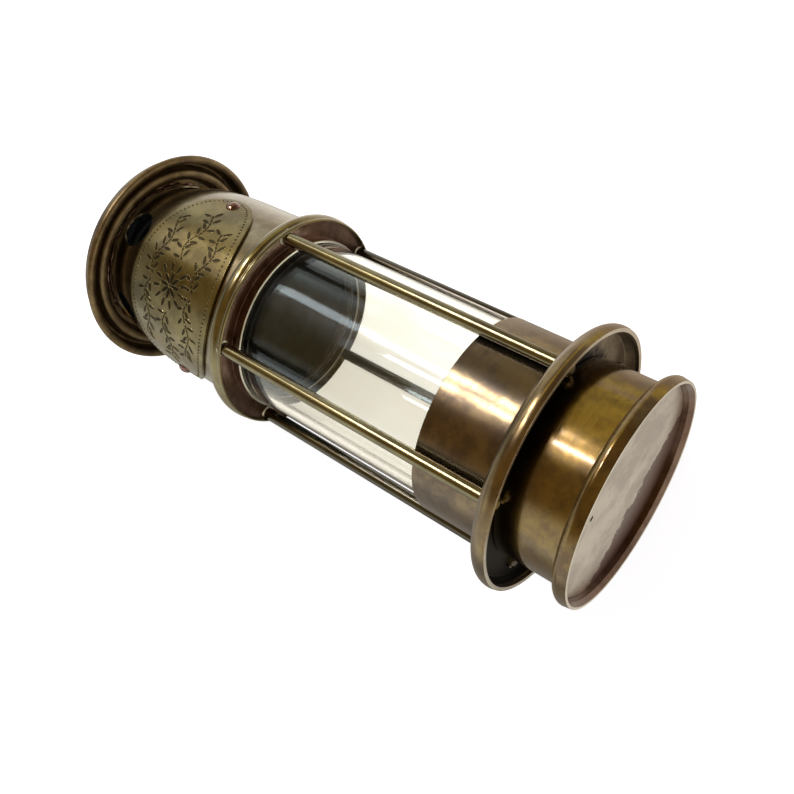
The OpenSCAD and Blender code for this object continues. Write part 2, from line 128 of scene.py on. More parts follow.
def eased(outline: Sequence[Pair], radius: float, steps: int = 4, most: float = 0.45) -> list[Pair]:
    """Rounds the sharp corners of a closed outline, as files and buffs leave them.

    Args:
        outline: Corners of the outline, in order.
        radius: Radius of the rounding.
        steps: Number of chords in each rounding.
        most: Largest share of an edge that a rounding takes.

    Returns:
        The outline with each sharp corner replaced by a curve.
    """
    done: list[Pair] = []
    count = len(outline)
    for i, corner in enumerate(outline):
        here = Vector(corner)
        back = Vector(outline[i - 1]) - here
        ahead = Vector(outline[(i + 1) % count]) - here
        turn = math.pi - back.angle(ahead, math.pi)
        if turn < math.radians(SHARP_CORNER) or here.x < ON_AXIS:
            done.append(corner)
            continue
        reach = min(radius * math.tan(turn / 2), most * back.length, most * ahead.length)
        first, last = here + back.normalized() * reach, here + ahead.normalized() * reach
        for k in range(steps + 1):
            t = k / steps
            point = first * (1 - t) ** 2 + here * 2 * t * (1 - t) + last * t**2
            done.append((point.x, point.y))
    return done


def swept(path: Sequence[Pair], thickness: float) -> list[Pair]:
    """Closed outline of a sheet that lies to the right of an open path.

    Args:
        path: Points of the sheet's one face.
        thickness: Thickness of the sheet, negative to lie on the left.

    Returns:
        The path followed by its offset in the other direction.
    """
    points = [Vector(p) for p in path]
    other: list[Pair] = []
    for i, point in enumerate(points):
        way = (points[min(i + 1, len(points) - 1)] - points[max(i - 1, 0)]).normalized()
        other.append((point.x + thickness * way.y, point.y - thickness * way.x))
    return list(path) + other[::-1]


def walled(bore: float, extent: Extent) -> list[Pair]:
    """Corners of a plain tube, or of a disc if its bore is 0."""
    radius, low, high = extent.radius, extent.low, extent.high
    return [(bore, low), (radius, low), (radius, high), (bore, high)]


def new_object(name: str, data: bpy.types.ID) -> bpy.types.Object:
    """Links a mesh, light or camera to the scene as an object at the origin.

    Args:
        name: Name of the object.
        data: What the object holds.

    Returns:
        The linked object.
    """
    piece = bpy.data.objects.new(name, data)
    bpy.context.scene.collection.objects.link(piece)
    return piece


def plain_mesh(
    name: str, verts: Sequence[Vector], faces: Sequence[Sequence[int]] = (), smooth: bool = True
) -> bpy.types.Object:
    """Makes an object of given points and faces.

    Args:
        name: Name of the piece.
        verts: Places of the vertices, in metres.
        faces: Vertex indices of each face.
        smooth: Whether the faces shade smoothly.

    Returns:
        The linked object.
    """
    mesh = bpy.data.meshes.new(name)
    mesh.from_pydata([tuple(v) for v in verts], [], faces)
    mesh.polygons.foreach_set("use_smooth", [smooth] * len(mesh.polygons))
    return new_object(name, mesh)


def turned(name: str, outline: Sequence[Pair], steps: int = 240) -> bpy.types.Object:
    """Turns a closed outline about the lamp's axis, with the normals of the true surface.

    Args:
        name: Name of the piece.
        outline: Points of radius and height in millimetres, in either direction.
        steps: Number of faces round the axis.

    Returns:
        The closed, smooth shaded piece.
    """
    points = [Vector(p) for p in outline]
    count = len(points)
    area = sum(points[i - 1].cross(points[i]) for i in range(count))
    if area < 0:
        points.reverse()
    chords = [points[(i + 1) % count] - points[i] for i in range(count)]
    faces_out = [Vector((c.y, -c.x)).normalized() for c in chords]
    starts, ends = list(faces_out), list(faces_out)
    for i in range(count):
        if faces_out[i - 1].angle(faces_out[i], 0) < math.radians(CREASE):
            shared = faces_out[i - 1] * chords[i - 1].length + faces_out[i] * chords[i].length
            ends[i - 1] = starts[i] = shared.normalized()
    angles = [2 * math.pi * k / steps for k in range(steps)]
    verts: list[Vector] = []
    first: list[int] = []
    for point in points:
        first.append(len(verts))
        if point.x < ON_AXIS:
            verts.append(Vector((0, 0, point.y * MM)))
        else:
            for a in angles:
                verts.append(Vector((point.x * math.cos(a), point.x * math.sin(a), point.y)) * MM)
    faces: list[list[int]] = []
    normals: list[Vector] = []

    def corner(ring: int, k: int) -> int:
        """Index of the vertex k steps round on a ring of the outline."""
        return first[ring] + (0 if points[ring].x < ON_AXIS else k % steps)

    for i in range(count):
        j = (i + 1) % count
        if points[i].x < ON_AXIS and points[j].x < ON_AXIS:
            continue
        for k in range(steps):
            ring = [(i, k, starts[i]), (i, k + 1, starts[i]), (j, k + 1, ends[i]), (j, k, ends[i])]
            if points[i].x < ON_AXIS:
                ring.pop(1)
            elif points[j].x < ON_AXIS:
                ring.pop(2)
            faces.append([corner(r, turn) for r, turn, _ in ring])
            for _, turn, out in ring:
                a = angles[turn % steps]
                normals.append(Vector((out.x * math.cos(a), out.x * math.sin(a), out.y)))
    return smooth_mesh(name, verts, faces, normals)


def smooth_mesh(
    name: str, verts: Sequence[Vector], faces: Sequence[Sequence[int]], normals: Sequence[Vector]
) -> bpy.types.Object:
    """Makes a mesh whose shading follows given normals.

    Args:
        name: Name of the piece.
        verts: Places of the vertices, in metres.
        faces: Vertex indices of each face.
        normals: One normal for each corner of each face, in the order of the faces.

    Returns:
        The linked object.
    """
    piece = plain_mesh(name, verts, faces)
    piece.data.normals_split_custom_set([tuple(n.normalized()) for n in normals])
    piece.data.update()
    return piece


def smooth_copy(name: str, node: str) -> bpy.types.Object:
    """Copies a node of the frame as one merged mesh with smooth shading that keeps flat faces flat.

    Args:
        name: Name of the new piece.
        node: Node to copy.

    Returns:
        The copy. The node itself is left as it was.
    """
    work = bmesh.new()
    work.from_mesh(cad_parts[node].data)
    bmesh.ops.remove_doubles(work, verts=work.verts, dist=MERGE)
    limit, least = math.cos(math.radians(CREASE)), 1e-12
    areas = {face: face.calc_area() for face in work.faces}
    normals: list[Vector] = []
    for face in work.faces:
        for vert in face.verts:
            near = [f for f in vert.link_faces if f.normal.dot(face.normal) > limit]
            normals.append(sum((f.normal * areas[f] for f in near), face.normal * least))
    verts = [vert.co.copy() for vert in work.verts]
    work.verts.index_update()
    faces = [[vert.index for vert in face.verts] for face in work.faces]
    work.free()
    return smooth_mesh(name, verts, faces, normals)


def place(
    piece: bpy.types.Object, body: Body, slot: Slot, material: bpy.types.Material, *nodes: str
) -> bpy.types.Object:
    """Gives a finished piece its material and its body, and hides the nodes that it stands for.

    Args:
        piece: The piece, in place.
        body: Body that it rides on.
        slot: Finish of the record that it takes; not used.
        material: Material of its first slot, if it has none yet.
        nodes: Nodes that it replaces.

    Returns:
        The same piece.
    """
    if not piece.data.materials:
        piece.data.materials.append(material)
    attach(piece, body.value)
    if nodes:
        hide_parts(*nodes)
    log.info("%s: %d faces, on %s", piece.name, len(piece.data.polygons), body.value)
    return piece


def place_copies(rows: Sequence[tuple[str, str, Body, Slot, bpy.types.Material]]) -> None:
    """Copies nodes of the frame smoothly, each as the piece that replaces it.

    Args:
        rows: For each piece its name, its node, its body, its finish in the record and its material.
    """
    for name, node, body, slot, material in rows:
        place(smooth_copy(name, node), body, slot, material, node)


def recoat(
    piece: bpy.types.Object, main: bpy.types.Material, *others: tuple[bpy.types.Material, Rule]
) -> None:
    """Gives a piece more than one material.

    Args:
        piece: Piece without a material.
        main: Material of most faces.
        others: Further materials, each with the rule that tells from a face's centre in millimetres
            and its normal whether it takes it. The last rule that holds wins.
    """
    piece.data.materials.append(main)
    for number, (material, rule) in enumerate(others, 1):
        piece.data.materials.append(material)
        for face in piece.data.polygons:
            if rule(face.center / MM, face.normal):
                face.material_index = number


@dataclass(frozen=True)
class Grain:
    """One layer of noise: its patches per length, its detail and its roughness."""

    scale: float
    detail: float
    rough: float


class Graph:
    """Adds linked nodes to a shader or geometry tree."""

    def __init__(self, tree: bpy.types.NodeTree) -> None:
        """Keeps the tree that nodes are added to."""
        self.tree = tree

    def add(self, kind: str, inputs: dict | None = None, **settings: object) -> bpy.types.Node:
        """Adds one node.

        Args:
            kind: Type name of the node.
            inputs: Values or sockets for its inputs, by name or number.
            settings: Values of the node's own properties.

        Returns:
            The new node.
        """
        node = self.tree.nodes.new(kind)
        for key, value in settings.items():
            setattr(node, key, value)
        self.feed(node, inputs or {})
        return node

    def feed(self, node: bpy.types.Node, inputs: dict) -> None:
        """Links or sets inputs of a node.

        Args:
            node: Node of this tree.
            inputs: Values or sockets for its inputs, by name or number.
        """
        for key, value in inputs.items():
            if isinstance(value, bpy.types.NodeSocket):
                self.tree.links.new(value, node.inputs[key])
            else:
                node.inputs[key].default_value = value

    def object_at(self) -> bpy.types.NodeSocket:
        """Place on the object, in metres."""
        return self.add("ShaderNodeTexCoord").outputs["Object"]

    def split(self, vector: bpy.types.NodeSocket) -> Sequence[bpy.types.NodeSocket]:
        """The three numbers of a vector."""
        return self.add("ShaderNodeSeparateXYZ", {0: vector}).outputs

    def math(self, operation: str, *values: object, clamp: bool = False) -> bpy.types.NodeSocket:
        """Adds a Math node and returns its result."""
        node = self.add("ShaderNodeMath", dict(enumerate(values)), operation=operation, use_clamp=clamp)
        return node.outputs[0]

    def vector(self, operation: str, *values: object) -> bpy.types.Node:
        """Adds a Vector Math node."""
        return self.add("ShaderNodeVectorMath", dict(enumerate(values)), operation=operation)

    def plus(self, first: object, second: object, times: object) -> bpy.types.NodeSocket:
        """Adds a multiple of the second number to the first."""
        return self.math("ADD", first, self.math("MULTIPLY", second, times))

    def scaled(self, vector: object, factor: object) -> bpy.types.NodeSocket:
        """Multiplies a vector by a number."""
        inputs = {0: vector, "Scale": factor}
        return self.add("ShaderNodeVectorMath", inputs, operation="SCALE").outputs[0]

    def combine(self, x: object, y: object, z: object) -> bpy.types.NodeSocket:
        """Joins three numbers into a vector."""
        return self.add("ShaderNodeCombineXYZ", {0: x, 1: y, 2: z}).outputs[0]

    def ease(
        self, value: object, low: float, high: float, start: float = 0, end: float = 1
    ) -> bpy.types.NodeSocket:
        """Maps a value smoothly from one range to another.

        Args:
            value: Number to map.
            low: Value that gives start.
            high: Value that gives end.
            start: Result at and below low.
            end: Result at and above high.

        Returns:
            The socket of the mapped number.
        """
        inputs = {"Value": value, "From Min": low, "From Max": high, "To Min": start, "To Max": end}
        node = self.add("ShaderNodeMapRange", inputs, interpolation_type="SMOOTHSTEP")
        return node.outputs["Result"]

    def noise(self, place_at: object, grain: Grain, length: float = 1.0) -> bpy.types.NodeSocket:
        """Adds a noise and returns its grey value.

        Args:
            place_at: Where the noise is read.
            grain: Kind of the noise.
            length: Length that the grain's scale counts its patches on.

        Returns:
            The socket of a number about 0.5.
        """
        inputs = {"Scale": grain.scale / length, "Detail": grain.detail, "Roughness": grain.rough}
        return self.add("ShaderNodeTexNoise", {"Vector": place_at, **inputs}).outputs["Fac"]

    def blend(self, share: object, first: object, second: object) -> bpy.types.NodeSocket:
        """Mixes two colours.

        Args:
            share: Share of the second colour.
            first: Colour or socket at share 0.
            second: Colour or socket at share 1.

        Returns:
            The socket of the mixed colour.
        """
        inputs = {0: share}
        for index, colour in ((6, first), (7, second)):
            inputs[index] = colour if isinstance(colour, bpy.types.NodeSocket) else (*colour, 1)
        return self.add("ShaderNodeMix", inputs, data_type="RGBA").outputs[2]


def new_material(name: str) -> tuple[bpy.types.Material, Graph, bpy.types.Node]:
    """Starts a material.

    Args:
        name: Name of the material.

    Returns:
        The material, its graph and its surface shader.
    """
    material = bpy.data.materials.new(name)
    material.use_nodes = True
    shader = material.node_tree.nodes["Principled BSDF"]
    return material, Graph(material.node_tree), shader


@dataclass(frozen=True)
class Metal:
    """A worked metal with patina, buffing waves, turned or brushed marks and small stains.

    Colours are linear and lengths are in millimetres. Real stains and painted shade share one dark colour:
    painted shade darkens the side that a given way points to, and lies beside the rods, if there are any.
    """

    name: str
    bright: Rgb
    patina: Rgb
    patina_share: float = 0.7
    roughness: float = 0.17
    blotch_mm: float = 9
    waves: float = 0.35
    marks: float = 1.0
    lacquer: float = 0.9
    blush: Rgb = (0.12, 0.04, 0.018)
    blush_share: float = 0.45
    stain_and_shade: Rgb = (0.02, 0.012, 0.006)
    stain_share: float = 0.6
    coat_rough: float = 0.12
    coat_ior: float = 1.6
    side_shade: float = 0.0
    side_shade_way: Triple = (0.0, 1.0, 0.0)
    side_shade_from: float = -4.0
    side_shade_to: float = 8.0
    side_shade_wander: float = 0.0
    rods: int = 0
    rods_turn: float = 0.0
    rods_shade: tuple[float, float, float, float] = (2.6, 4.2, 0.92, 0)
    streak_along: float = 0.11
    streak_across: float = 1.1
    streaks: Grain = Grain(1.0, 4, 0.7)
    blotches: Grain = Grain(1.0, 6, 0.66)
    mottles: Grain = Grain(2.6, 5, 0.7)
    pores: Grain = Grain(0.9, 4, 0.6)
    blushes: Grain = Grain(0.8, 5, 0.68)
    stains: Grain = Grain(0.35, 7, 0.74)
    swells: Grain = Grain(0.11, 2, 0.55)
    blush_shift: Triple = (31.0, 17.0, 53.0)
    patina_edge: Pair = (0.6, 0.92)
    blush_edge: Pair = (0.52, 0.68)
    stain_edge: Pair = (0.6, 0.72)
    patina_mix: Pair = (0.14, 0.35)
    rough_mix: tuple[float, float, float, float] = (-0.08, 0.1, 0.07, 0.12)
    height_mix: Triple = (0.012, 0.004, 0.14)

    def build(self) -> bpy.types.Material:
        """Builds the material.

        Returns:
            The material, whose patterns follow Object coordinates.
        """
        material, g, shader = new_material(self.name)
        mm = g.scaled(g.object_at(), 1 / MM)
        x, y, z = g.split(mm)
        radius = g.vector("LENGTH", g.combine(x, y, 0.0)).outputs["Value"]
        along = [g.math("MULTIPLY", side, self.streak_along) for side in (x, y)]
        across = g.math("MULTIPLY", g.math("ADD", radius, z), self.streak_across)
        streak = g.noise(g.combine(*along, across), self.streaks)
        mottle = g.noise(mm, self.mottles, self.blotch_mm)
        share = g.plus(g.noise(mm, self.blotches, self.blotch_mm), streak, self.patina_mix[0])
        share = g.ease(g.plus(share, mottle, self.patina_mix[1]), *self.patina_edge)
        colour = g.blend(g.math("MULTIPLY", share, self.patina_share), self.bright, self.patina)
        elsewhere = g.vector("ADD", mm, self.blush_shift).outputs[0]
        red = g.noise(elsewhere, self.blushes, self.blotch_mm)
        colour = g.blend(g.ease(red, *self.blush_edge, 0, self.blush_share), colour, self.blush)
        stain_and_shade_share = g.ease(g.noise(mm, self.stains), *self.stain_edge, 0, self.stain_share)
        # Painted shade: darkens the side of the piece that the way points to.
        if self.side_shade:
            reach = g.vector("DOT_PRODUCT", mm, self.side_shade_way).outputs["Value"]
            reach = g.plus(reach, g.math("SUBTRACT", mottle, GREY), self.side_shade_wander)
            stain_and_shade_share = g.math("MAXIMUM", stain_and_shade_share, g.ease(reach, self.side_shade_from, self.side_shade_to, 0, self.side_shade))
        # Painted shade beside each rod, standing in for its shadow and reflection.
        if self.rods:
            turn = g.math("SUBTRACT", g.math("ARCTAN2", y, x), math.radians(self.rods_turn))
            beside = g.math("MULTIPLY", g.math("PINGPONG", turn, math.pi / self.rods), radius)
            stain_and_shade_share = g.math("MAXIMUM", stain_and_shade_share, g.ease(beside, *self.rods_shade))
        rough = self.roughness + self.rough_mix[0]
        for layer, depth in zip((mottle, streak, stain_and_shade_share), self.rough_mix[1:]):
            rough = g.plus(rough, layer, depth)
        marks, pores, waves = self.height_mix
        heights = g.math("MULTIPLY", streak, marks * self.marks)
        heights = g.plus(heights, g.noise(mm, self.pores), pores)
        heights = g.plus(heights, g.noise(mm, self.swells), waves * self.waves)
        bump = g.add("ShaderNodeBump", {"Height": heights, "Distance": MM, "Strength": 1.0}).outputs[0]
        inputs = {"Base Color": g.blend(stain_and_shade_share, colour, self.stain_and_shade), "Roughness": rough, "Metallic": 1}
        coat = {"Coat Weight": self.lacquer, "Coat Roughness": self.coat_rough, "Coat IOR": self.coat_ior}
        g.feed(shader, {**inputs, **coat, "Normal": bump, "Coat Normal": bump})
        return material


@dataclass(frozen=True)
class Glass:
    """Clear drawn glass with a faint tint, a little hazy from handling."""

    name: str
    tint: Rgb
    clear: float = 0.01
    hazy: float = 0.09
    haze_edge: Pair = (0.4, 0.75)
    marks: Grain = Grain(1.0, 5, 0.7)
    stretch: Triple = (0.25, 0.25, 1.3)
    ior: float = 1.47
    glint: Rgb = (0.78, 0.93, 1.0)
    film: float = 0.25
    film_rough: float = 0.3

    def build(self) -> bpy.types.Material:
        """Builds the glass.

        Returns:
            The material, whose haze lies in short marks round the tube.
        """
        material, g, shader = new_material(self.name)
        at = g.vector("MULTIPLY", g.object_at(), [s / MM for s in self.stretch]).outputs[0]
        haze = g.ease(g.noise(at, self.marks), *self.haze_edge, self.clear, self.hazy)
        glass = {"Roughness": haze, "Base Color": (*self.tint, 1), "Transmission Weight": 1, "IOR": self.ior}
        film = {"Coat Weight": self.film, "Coat Roughness": self.film_rough, "Coat Tint": (1, 1, 1, 1)}
        g.feed(shader, {**glass, **film, "Specular Tint": (*self.glint, 1)})
        return material


@dataclass(frozen=True)
class Fibre:
    """A matt fibrous or granular stuff, such as cotton or cork."""

    name: str
    light: Rgb
    dark: Rgb
    grain_mm: float
    stretch: float = 1.0
    grains: Grain = Grain(1.0, 5, 0.7)
    grain_edge: Pair = (0.35, 0.65)
    relief_mm: float = 0.2
    relief: float = 0.8
    roughness: float = 0.9

    def build(self) -> bpy.types.Material:
        """Builds the stuff.

        Returns:
            The material, whose grain is stretched along the lamp's axis.
        """
        material, g, shader = new_material(self.name)
        at = g.vector("MULTIPLY", g.object_at(), (1 / MM, 1 / MM, 1 / MM / self.stretch)).outputs[0]
        grain = g.noise(at, self.grains, self.grain_mm)
        relief = {"Height": grain, "Distance": self.relief_mm * MM, "Strength": self.relief}
        bump = g.add("ShaderNodeBump", relief).outputs[0]
        colour = g.blend(g.ease(grain, *self.grain_edge), self.dark, self.light)
        g.feed(shader, {"Base Color": colour, "Normal": bump, "Roughness": self.roughness})
        return material


class Finishes:
    """All finishes of the lamp, each built once."""

    def __init__(self) -> None:
        """Builds the materials."""
        self.tank = Metal(
            "tank_brass", (0.28, 0.175, 0.042), (0.11, 0.06, 0.018), 0.9, 0.22, 8, marks=1.4
        ).build()
        # Painted light: brighter, rougher brass on the top of the foot's bead, lightening the dark reflection
        # in the crease.
        self.painted_light = Metal("worn_brass", (0.4, 0.27, 0.1), (0.2, 0.12, 0.04), 0.8, 0.5, 7).build()
        self.ring = Metal(
            "ring_brass", (0.27, 0.175, 0.055), (0.13, 0.072, 0.02), 0.8, 0.18, lacquer=1.0, coat_rough=0.26
        ).build()
        # Painted shade: the sleeve darkens in strips beside each pillar, standing in for the pillars' shadow
        # and reflection.
        self.sleeve = Metal(
            "sleeve_brass", (0.24, 0.155, 0.06), (0.085, 0.042, 0.013), 0.9, 0.16, 7, waves=0.7, marks=1.8,
            lacquer=1.0, coat_rough=0.26, rods=5, rods_turn=-50.0,
        ).build()
        self.golden = Metal(
            "golden_brass", (0.27, 0.215, 0.085), (0.15, 0.105, 0.04), 0.7, 0.2, marks=0.4, blush_share=0.2
        ).build()
        # Painted shade: the pillars darken on the lamp's far side, towards the floor, where they lie in
        # shade.
        self.rod = Metal(
            "pillar_brass", (0.24, 0.2, 0.085), (0.13, 0.1, 0.045), 0.7, 0.2, waves=0.1, marks=0.2,
            blush_share=0.1, side_shade=0.85,
        ).build()
        self.shade = Metal(
            "shaded_brass", (0.25, 0.15, 0.1), (0.12, 0.065, 0.042), 0.8, 0.36, 7, lacquer=0.4
        ).build()
        # Partly real blackening and partly painted shade: the base ring's inside is near black except on the
        # window's side, where light falls.
        self.soot_and_shade = Metal(
            "sooty_brass", (0.3, 0.25, 0.18), (0.15, 0.11, 0.08), 0.8, 0.3, lacquer=0.0, blush_share=0.0,
            stain_and_shade=(0.004, 0.0035, 0.003), side_shade=1.0, side_shade_way=(-1.0, 0.0, 0.0), side_shade_from=-30.0, side_shade_to=-24.0,
            side_shade_wander=14.0,
        ).build()
        self.plate = Metal(
            "plate_brass", (0.27, 0.205, 0.072), (0.12, 0.088, 0.026), 0.85, 0.26, lacquer=0.55,
            blush_share=0.12,
        ).build()
        self.bonnet = Metal(
            "bonnet_brass", (0.31, 0.245, 0.135), (0.15, 0.1, 0.045), 0.8, 0.23, blush_share=0.25
        ).build()
        self.cap = Metal(
            "cap_brass", (0.25, 0.17, 0.072), (0.092, 0.055, 0.025), 0.8, 0.42, 7, marks=2.0, lacquer=0.35,
            coat_rough=0.3,
        ).build()
        self.inside = Metal(
            "bonnet_inside", (0.03, 0.036, 0.045), (0.006, 0.007, 0.008), 0.8, 0.3, marks=2.0, lacquer=0.1,
            blush_share=0.0, stain_and_shade=(0.004, 0.0045, 0.005),
        ).build()
        self.dark = Metal("dark_brass", (0.12, 0.07, 0.03), (0.05, 0.028, 0.015), 0.8, 0.3).build()
        self.tinned = Metal(
            "tinned_plate", (0.7, 0.64, 0.5), (0.5, 0.44, 0.33), 0.7, 0.3, stain_share=0.2, lacquer=0.2,
            blush_share=0.0,
        ).build()
        # Painted shadow: the bottom plate turns reddish dark on its far side, standing in for the shadow and
        # reflection of the foot's lip.
        self.bottom = Metal(
            "bottom_tin", (0.74, 0.67, 0.57), (0.42, 0.36, 0.29), 0.8, 0.3, 11, stain_and_shade=(0.15, 0.08, 0.058),
            stain_share=0.2, lacquer=0.3, blush_share=0.0, side_shade=1.0, side_shade_from=12.0, side_shade_to=13.0,
            side_shade_wander=15.0,
        ).build()
        self.copper = Metal("rivet_copper", (0.26, 0.12, 0.085), (0.12, 0.05, 0.04), 0.6, 0.13).build()
        self.seam = Metal(
            "copper_seam", (0.34, 0.19, 0.13), (0.06, 0.03, 0.02), 1.0, 0.3, 3, lacquer=0.3
        ).build()
        self.solder = Metal(
            "solder", (0.22, 0.2, 0.17), (0.04, 0.035, 0.03), 0.9, 0.25, 3, waves=1.5, lacquer=0.4,
            blush_share=0.0,
        ).build()
        # Painted highlight: near-white thin edges where light catches the lips and rims.
        self.painted_glint = Metal(
            "bare_edge", (0.9, 0.86, 0.75), (0.7, 0.64, 0.5), 0.6, 0.3, lacquer=0.0, blush_share=0.0,
            stain_share=0.1,
        ).build()
        self.engraved = Metal(
            "engraved_marks", (0.05, 0.04, 0.02), (0.03, 0.022, 0.012), 0.5, 0.4, lacquer=0.0, blush_share=0.0
        ).build()
        self.glass = Glass("chimney_glass", (0.99, 0.995, 0.985)).build()
        self.ground = Fibre("ground_glass", (0.9, 0.92, 0.9), (0.7, 0.72, 0.7), 0.4).build()
        self.cotton = Fibre("wick_cotton", (0.72, 0.68, 0.56), (0.3, 0.25, 0.18), 0.5, 3).build()
        self.cork = Fibre("gasket_cork", (0.2, 0.13, 0.07), (0.08, 0.045, 0.025), 0.7).build()


class Pattern(Graph):
    """A geometry tree with named inputs that repeats a shape by a rule."""

    def __init__(self, name: str) -> None:
        """Starts an empty tree with a geometry input and output.

        Args:
            name: Name of the tree.
        """
        super().__init__(bpy.data.node_groups.new(name, "GeometryNodeTree"))
        for way in ("INPUT", "OUTPUT"):
            self.tree.interface.new_socket("Geometry", in_out=way, socket_type="NodeSocketGeometry")
        self.entry = self.add("NodeGroupInput")
        self.values: dict[str, object] = {}

    def size(self, name: str, value: object, kind: str = "Float") -> bpy.types.NodeSocket:
        """Adds a named input.

        Args:
            name: Name that the input shows.
            value: Value that this lamp gives it.
            kind: Kind of the socket, such as Float, Int or Object.

        Returns:
            The socket to link from.
        """
        made = self.tree.interface.new_socket(name, in_out="INPUT", socket_type=f"NodeSocket{kind}")
        self.values[made.identifier] = value
        return self.entry.outputs[name]

    def shown(self, mark: bpy.types.NodeSocket) -> bpy.types.NodeSocket:
        """Brings in the geometry of an object input."""
        info = self.add("GeometryNodeObjectInfo", {"Object": mark}, transform_space="ORIGINAL")
        return info.outputs["Geometry"]

    def run(
        self, start: bpy.types.Object, parts: Sequence[tuple[bpy.types.NodeSocket, bpy.types.Material]]
    ) -> bpy.types.Object:
        """Ends the tree, runs it on an object and keeps the result as that object's plain mesh.

        Args:
            start: Object whose mesh enters the tree.
            parts: Instances to realize, each with its material.

        Returns:
            The same object, with the result as its mesh and no modifier.
        """
        joined = self.add("GeometryNodeJoinGeometry")
        for instances, material in parts:
            real = self.add("GeometryNodeRealizeInstances", {0: instances}).outputs[0]
            dressed = self.add("GeometryNodeSetMaterial", {"Geometry": real, "Material": material})
            self.tree.links.new(dressed.outputs[0], joined.inputs[0])
        self.add("NodeGroupOutput", {0: joined.outputs[0]})
        modifier = start.modifiers.new(self.tree.name, "NODES")
        modifier.node_group = self.tree
        for identifier, value in self.values.items():
            modifier[identifier] = value
        graph = bpy.context.evaluated_depsgraph_get()
        mesh = bpy.data.meshes.new_from_object(start.evaluated_get(graph), depsgraph=graph)
        start.modifiers.remove(modifier)
        start.data = mesh
        return start


def loose_points(name: str, points: Sequence[Vector], **values: Sequence[float]) -> bpy.types.Object:
    """Makes an object of points alone, with one attribute for each keyword.

    Args:
        name: Name of the object.
        points: Places of the points.
        values: Numbers for each point, by attribute name.

    Returns:
        The linked object.
    """
    piece = plain_mesh(name, points)
    for key, numbers in values.items():
        piece.data.attributes.new(key, "FLOAT", "POINT").data.foreach_set("value", list(numbers))
    return piece


@dataclass
class Sheet:
    """A bent sheet, given as a flat net of faces and the surface that the net lies on."""

    points: list[Pair]
    faces: list[list[int]]
    surface: Callable[[Pair, float], tuple[Vector, Vector]]
    thickness: float
    edge: float = 0.12

    def piece(self, name: str) -> bpy.types.Object:
        """Gives the net its thickness and rounds its edges.

        Args:
            name: Name of the piece.

        Returns:
            The closed piece, whose inner faces use the second material slot.
        """
        outer = [self.surface(p, 0.0) for p in self.points]
        inner = [self.surface(p, self.thickness) for p in self.points]
        count = len(self.points)
        verts = [p for p, _ in outer] + [p for p, _ in inner]
        faces = [list(f) for f in self.faces]
        normals = [outer[i][1] for f in self.faces for i in f]
        used = {(f[i - 1], f[i]) for f in self.faces for i in range(len(f))}
        open_edges = [(a, b) for a, b in used if (b, a) not in used]
        away: dict[int, Vector] = {}
        for a, b in sorted(open_edges):
            side = (outer[b][0] - outer[a][0]).normalized().cross(outer[a][1])
            for i in (a, b):
                away[i] = away.get(i, Vector()) + side
        rim: dict[int, int] = {}
        for i, side in away.items():
            side.normalize()
            rim[i] = len(verts)
            verts.append(self.surface(self.points[i], self.edge)[0] + side * self.edge)
            verts.append(self.surface(self.points[i], self.thickness - self.edge)[0] + side * self.edge)
        for a, b in sorted(open_edges):
            rows = [
                (a, b, outer[a][1], outer[b][1]),
                (rim[a], rim[b], away[a], away[b]),
                (rim[a] + 1, rim[b] + 1, away[a], away[b]),
                (a + count, b + count, -inner[a][1], -inner[b][1]),
            ]
            for (a0, b0, na0, nb0), (a1, b1, na1, nb1) in zip(rows, rows[1:]):
                faces.append([b0, a0, a1, b1])
                normals += [nb0, na0, na1, nb1]
        lining = len(faces)
        for f in self.faces:
            faces.append([i + count for i in reversed(f)])
            normals += [-inner[i][1] for i in reversed(f)]
        made = smooth_mesh(name, [v * MM for v in verts], faces, normals)
        made.data.polygons.foreach_set("material_index", [int(i >= lining) for i in range(len(faces))])
        return made


@dataclass
class SolderSeam:
    """The ragged ring of solder in the corner under a flat plate, round a wall that leans inwards."""

    radius: float
    level: float
    lean: float
    steps: int = 360
    cord: int = 8
    sink: float = 0.02
    root: float = 0.3
    drop: Pair = (1.1, 1.2)
    least_drop: float = 0.2
    spread: Pair = (0.9, 0.8)
    hollow: float = 0.35
    drop_scale: float = 5
    drop_lumps: tuple[float, float, int] = (0.7, 2.2, 5)
    spread_scale: float = 9
    spread_shift: Triple = (7, 0, 0)

    def piece(self, name: str) -> bpy.types.Object:
        """Builds the ring from one row of points at each step round the axis.

        Args:
            name: Name of the piece.

        Returns:
            The closed piece.
        """
        verts: list[Vector] = []
        for k in range(self.steps):
            a = 2 * math.pi * k / self.steps
            around = Vector((math.cos(a), math.sin(a), 0))
            lumps = noise.fractal(around * self.drop_scale, *self.drop_lumps, noise_basis="PERLIN_ORIGINAL")
            drop = max(self.drop[0] + self.drop[1] * lumps, self.least_drop)
            wander = noise.noise(around * self.spread_scale + Vector(self.spread_shift))
            spread = self.spread[0] + self.spread[1] * wander
            for i in range(self.cord):
                t = i / (self.cord - 1)
                bow = 1 - self.hollow * math.sin(math.pi * t)
                rise, reach = drop * (1 - t) * bow, spread * t * bow
                level = Vector((0, 0, self.level - rise - self.sink))
                verts.append((around * (self.radius + rise * self.lean + reach) + level) * MM)
            level = Vector((0, 0, self.level - self.sink))
            verts.append((around * (self.radius - self.root) + level) * MM)
        row = self.cord + 1
        faces: list[list[int]] = []
        for k in range(self.steps):
            here, ahead = row * k, row * ((k + 1) % self.steps)
            for i in range(row):
                j = (i + 1) % row
                faces.append([here + i, ahead + i, ahead + j, here + j])
        return plain_mesh(name, verts, faces)


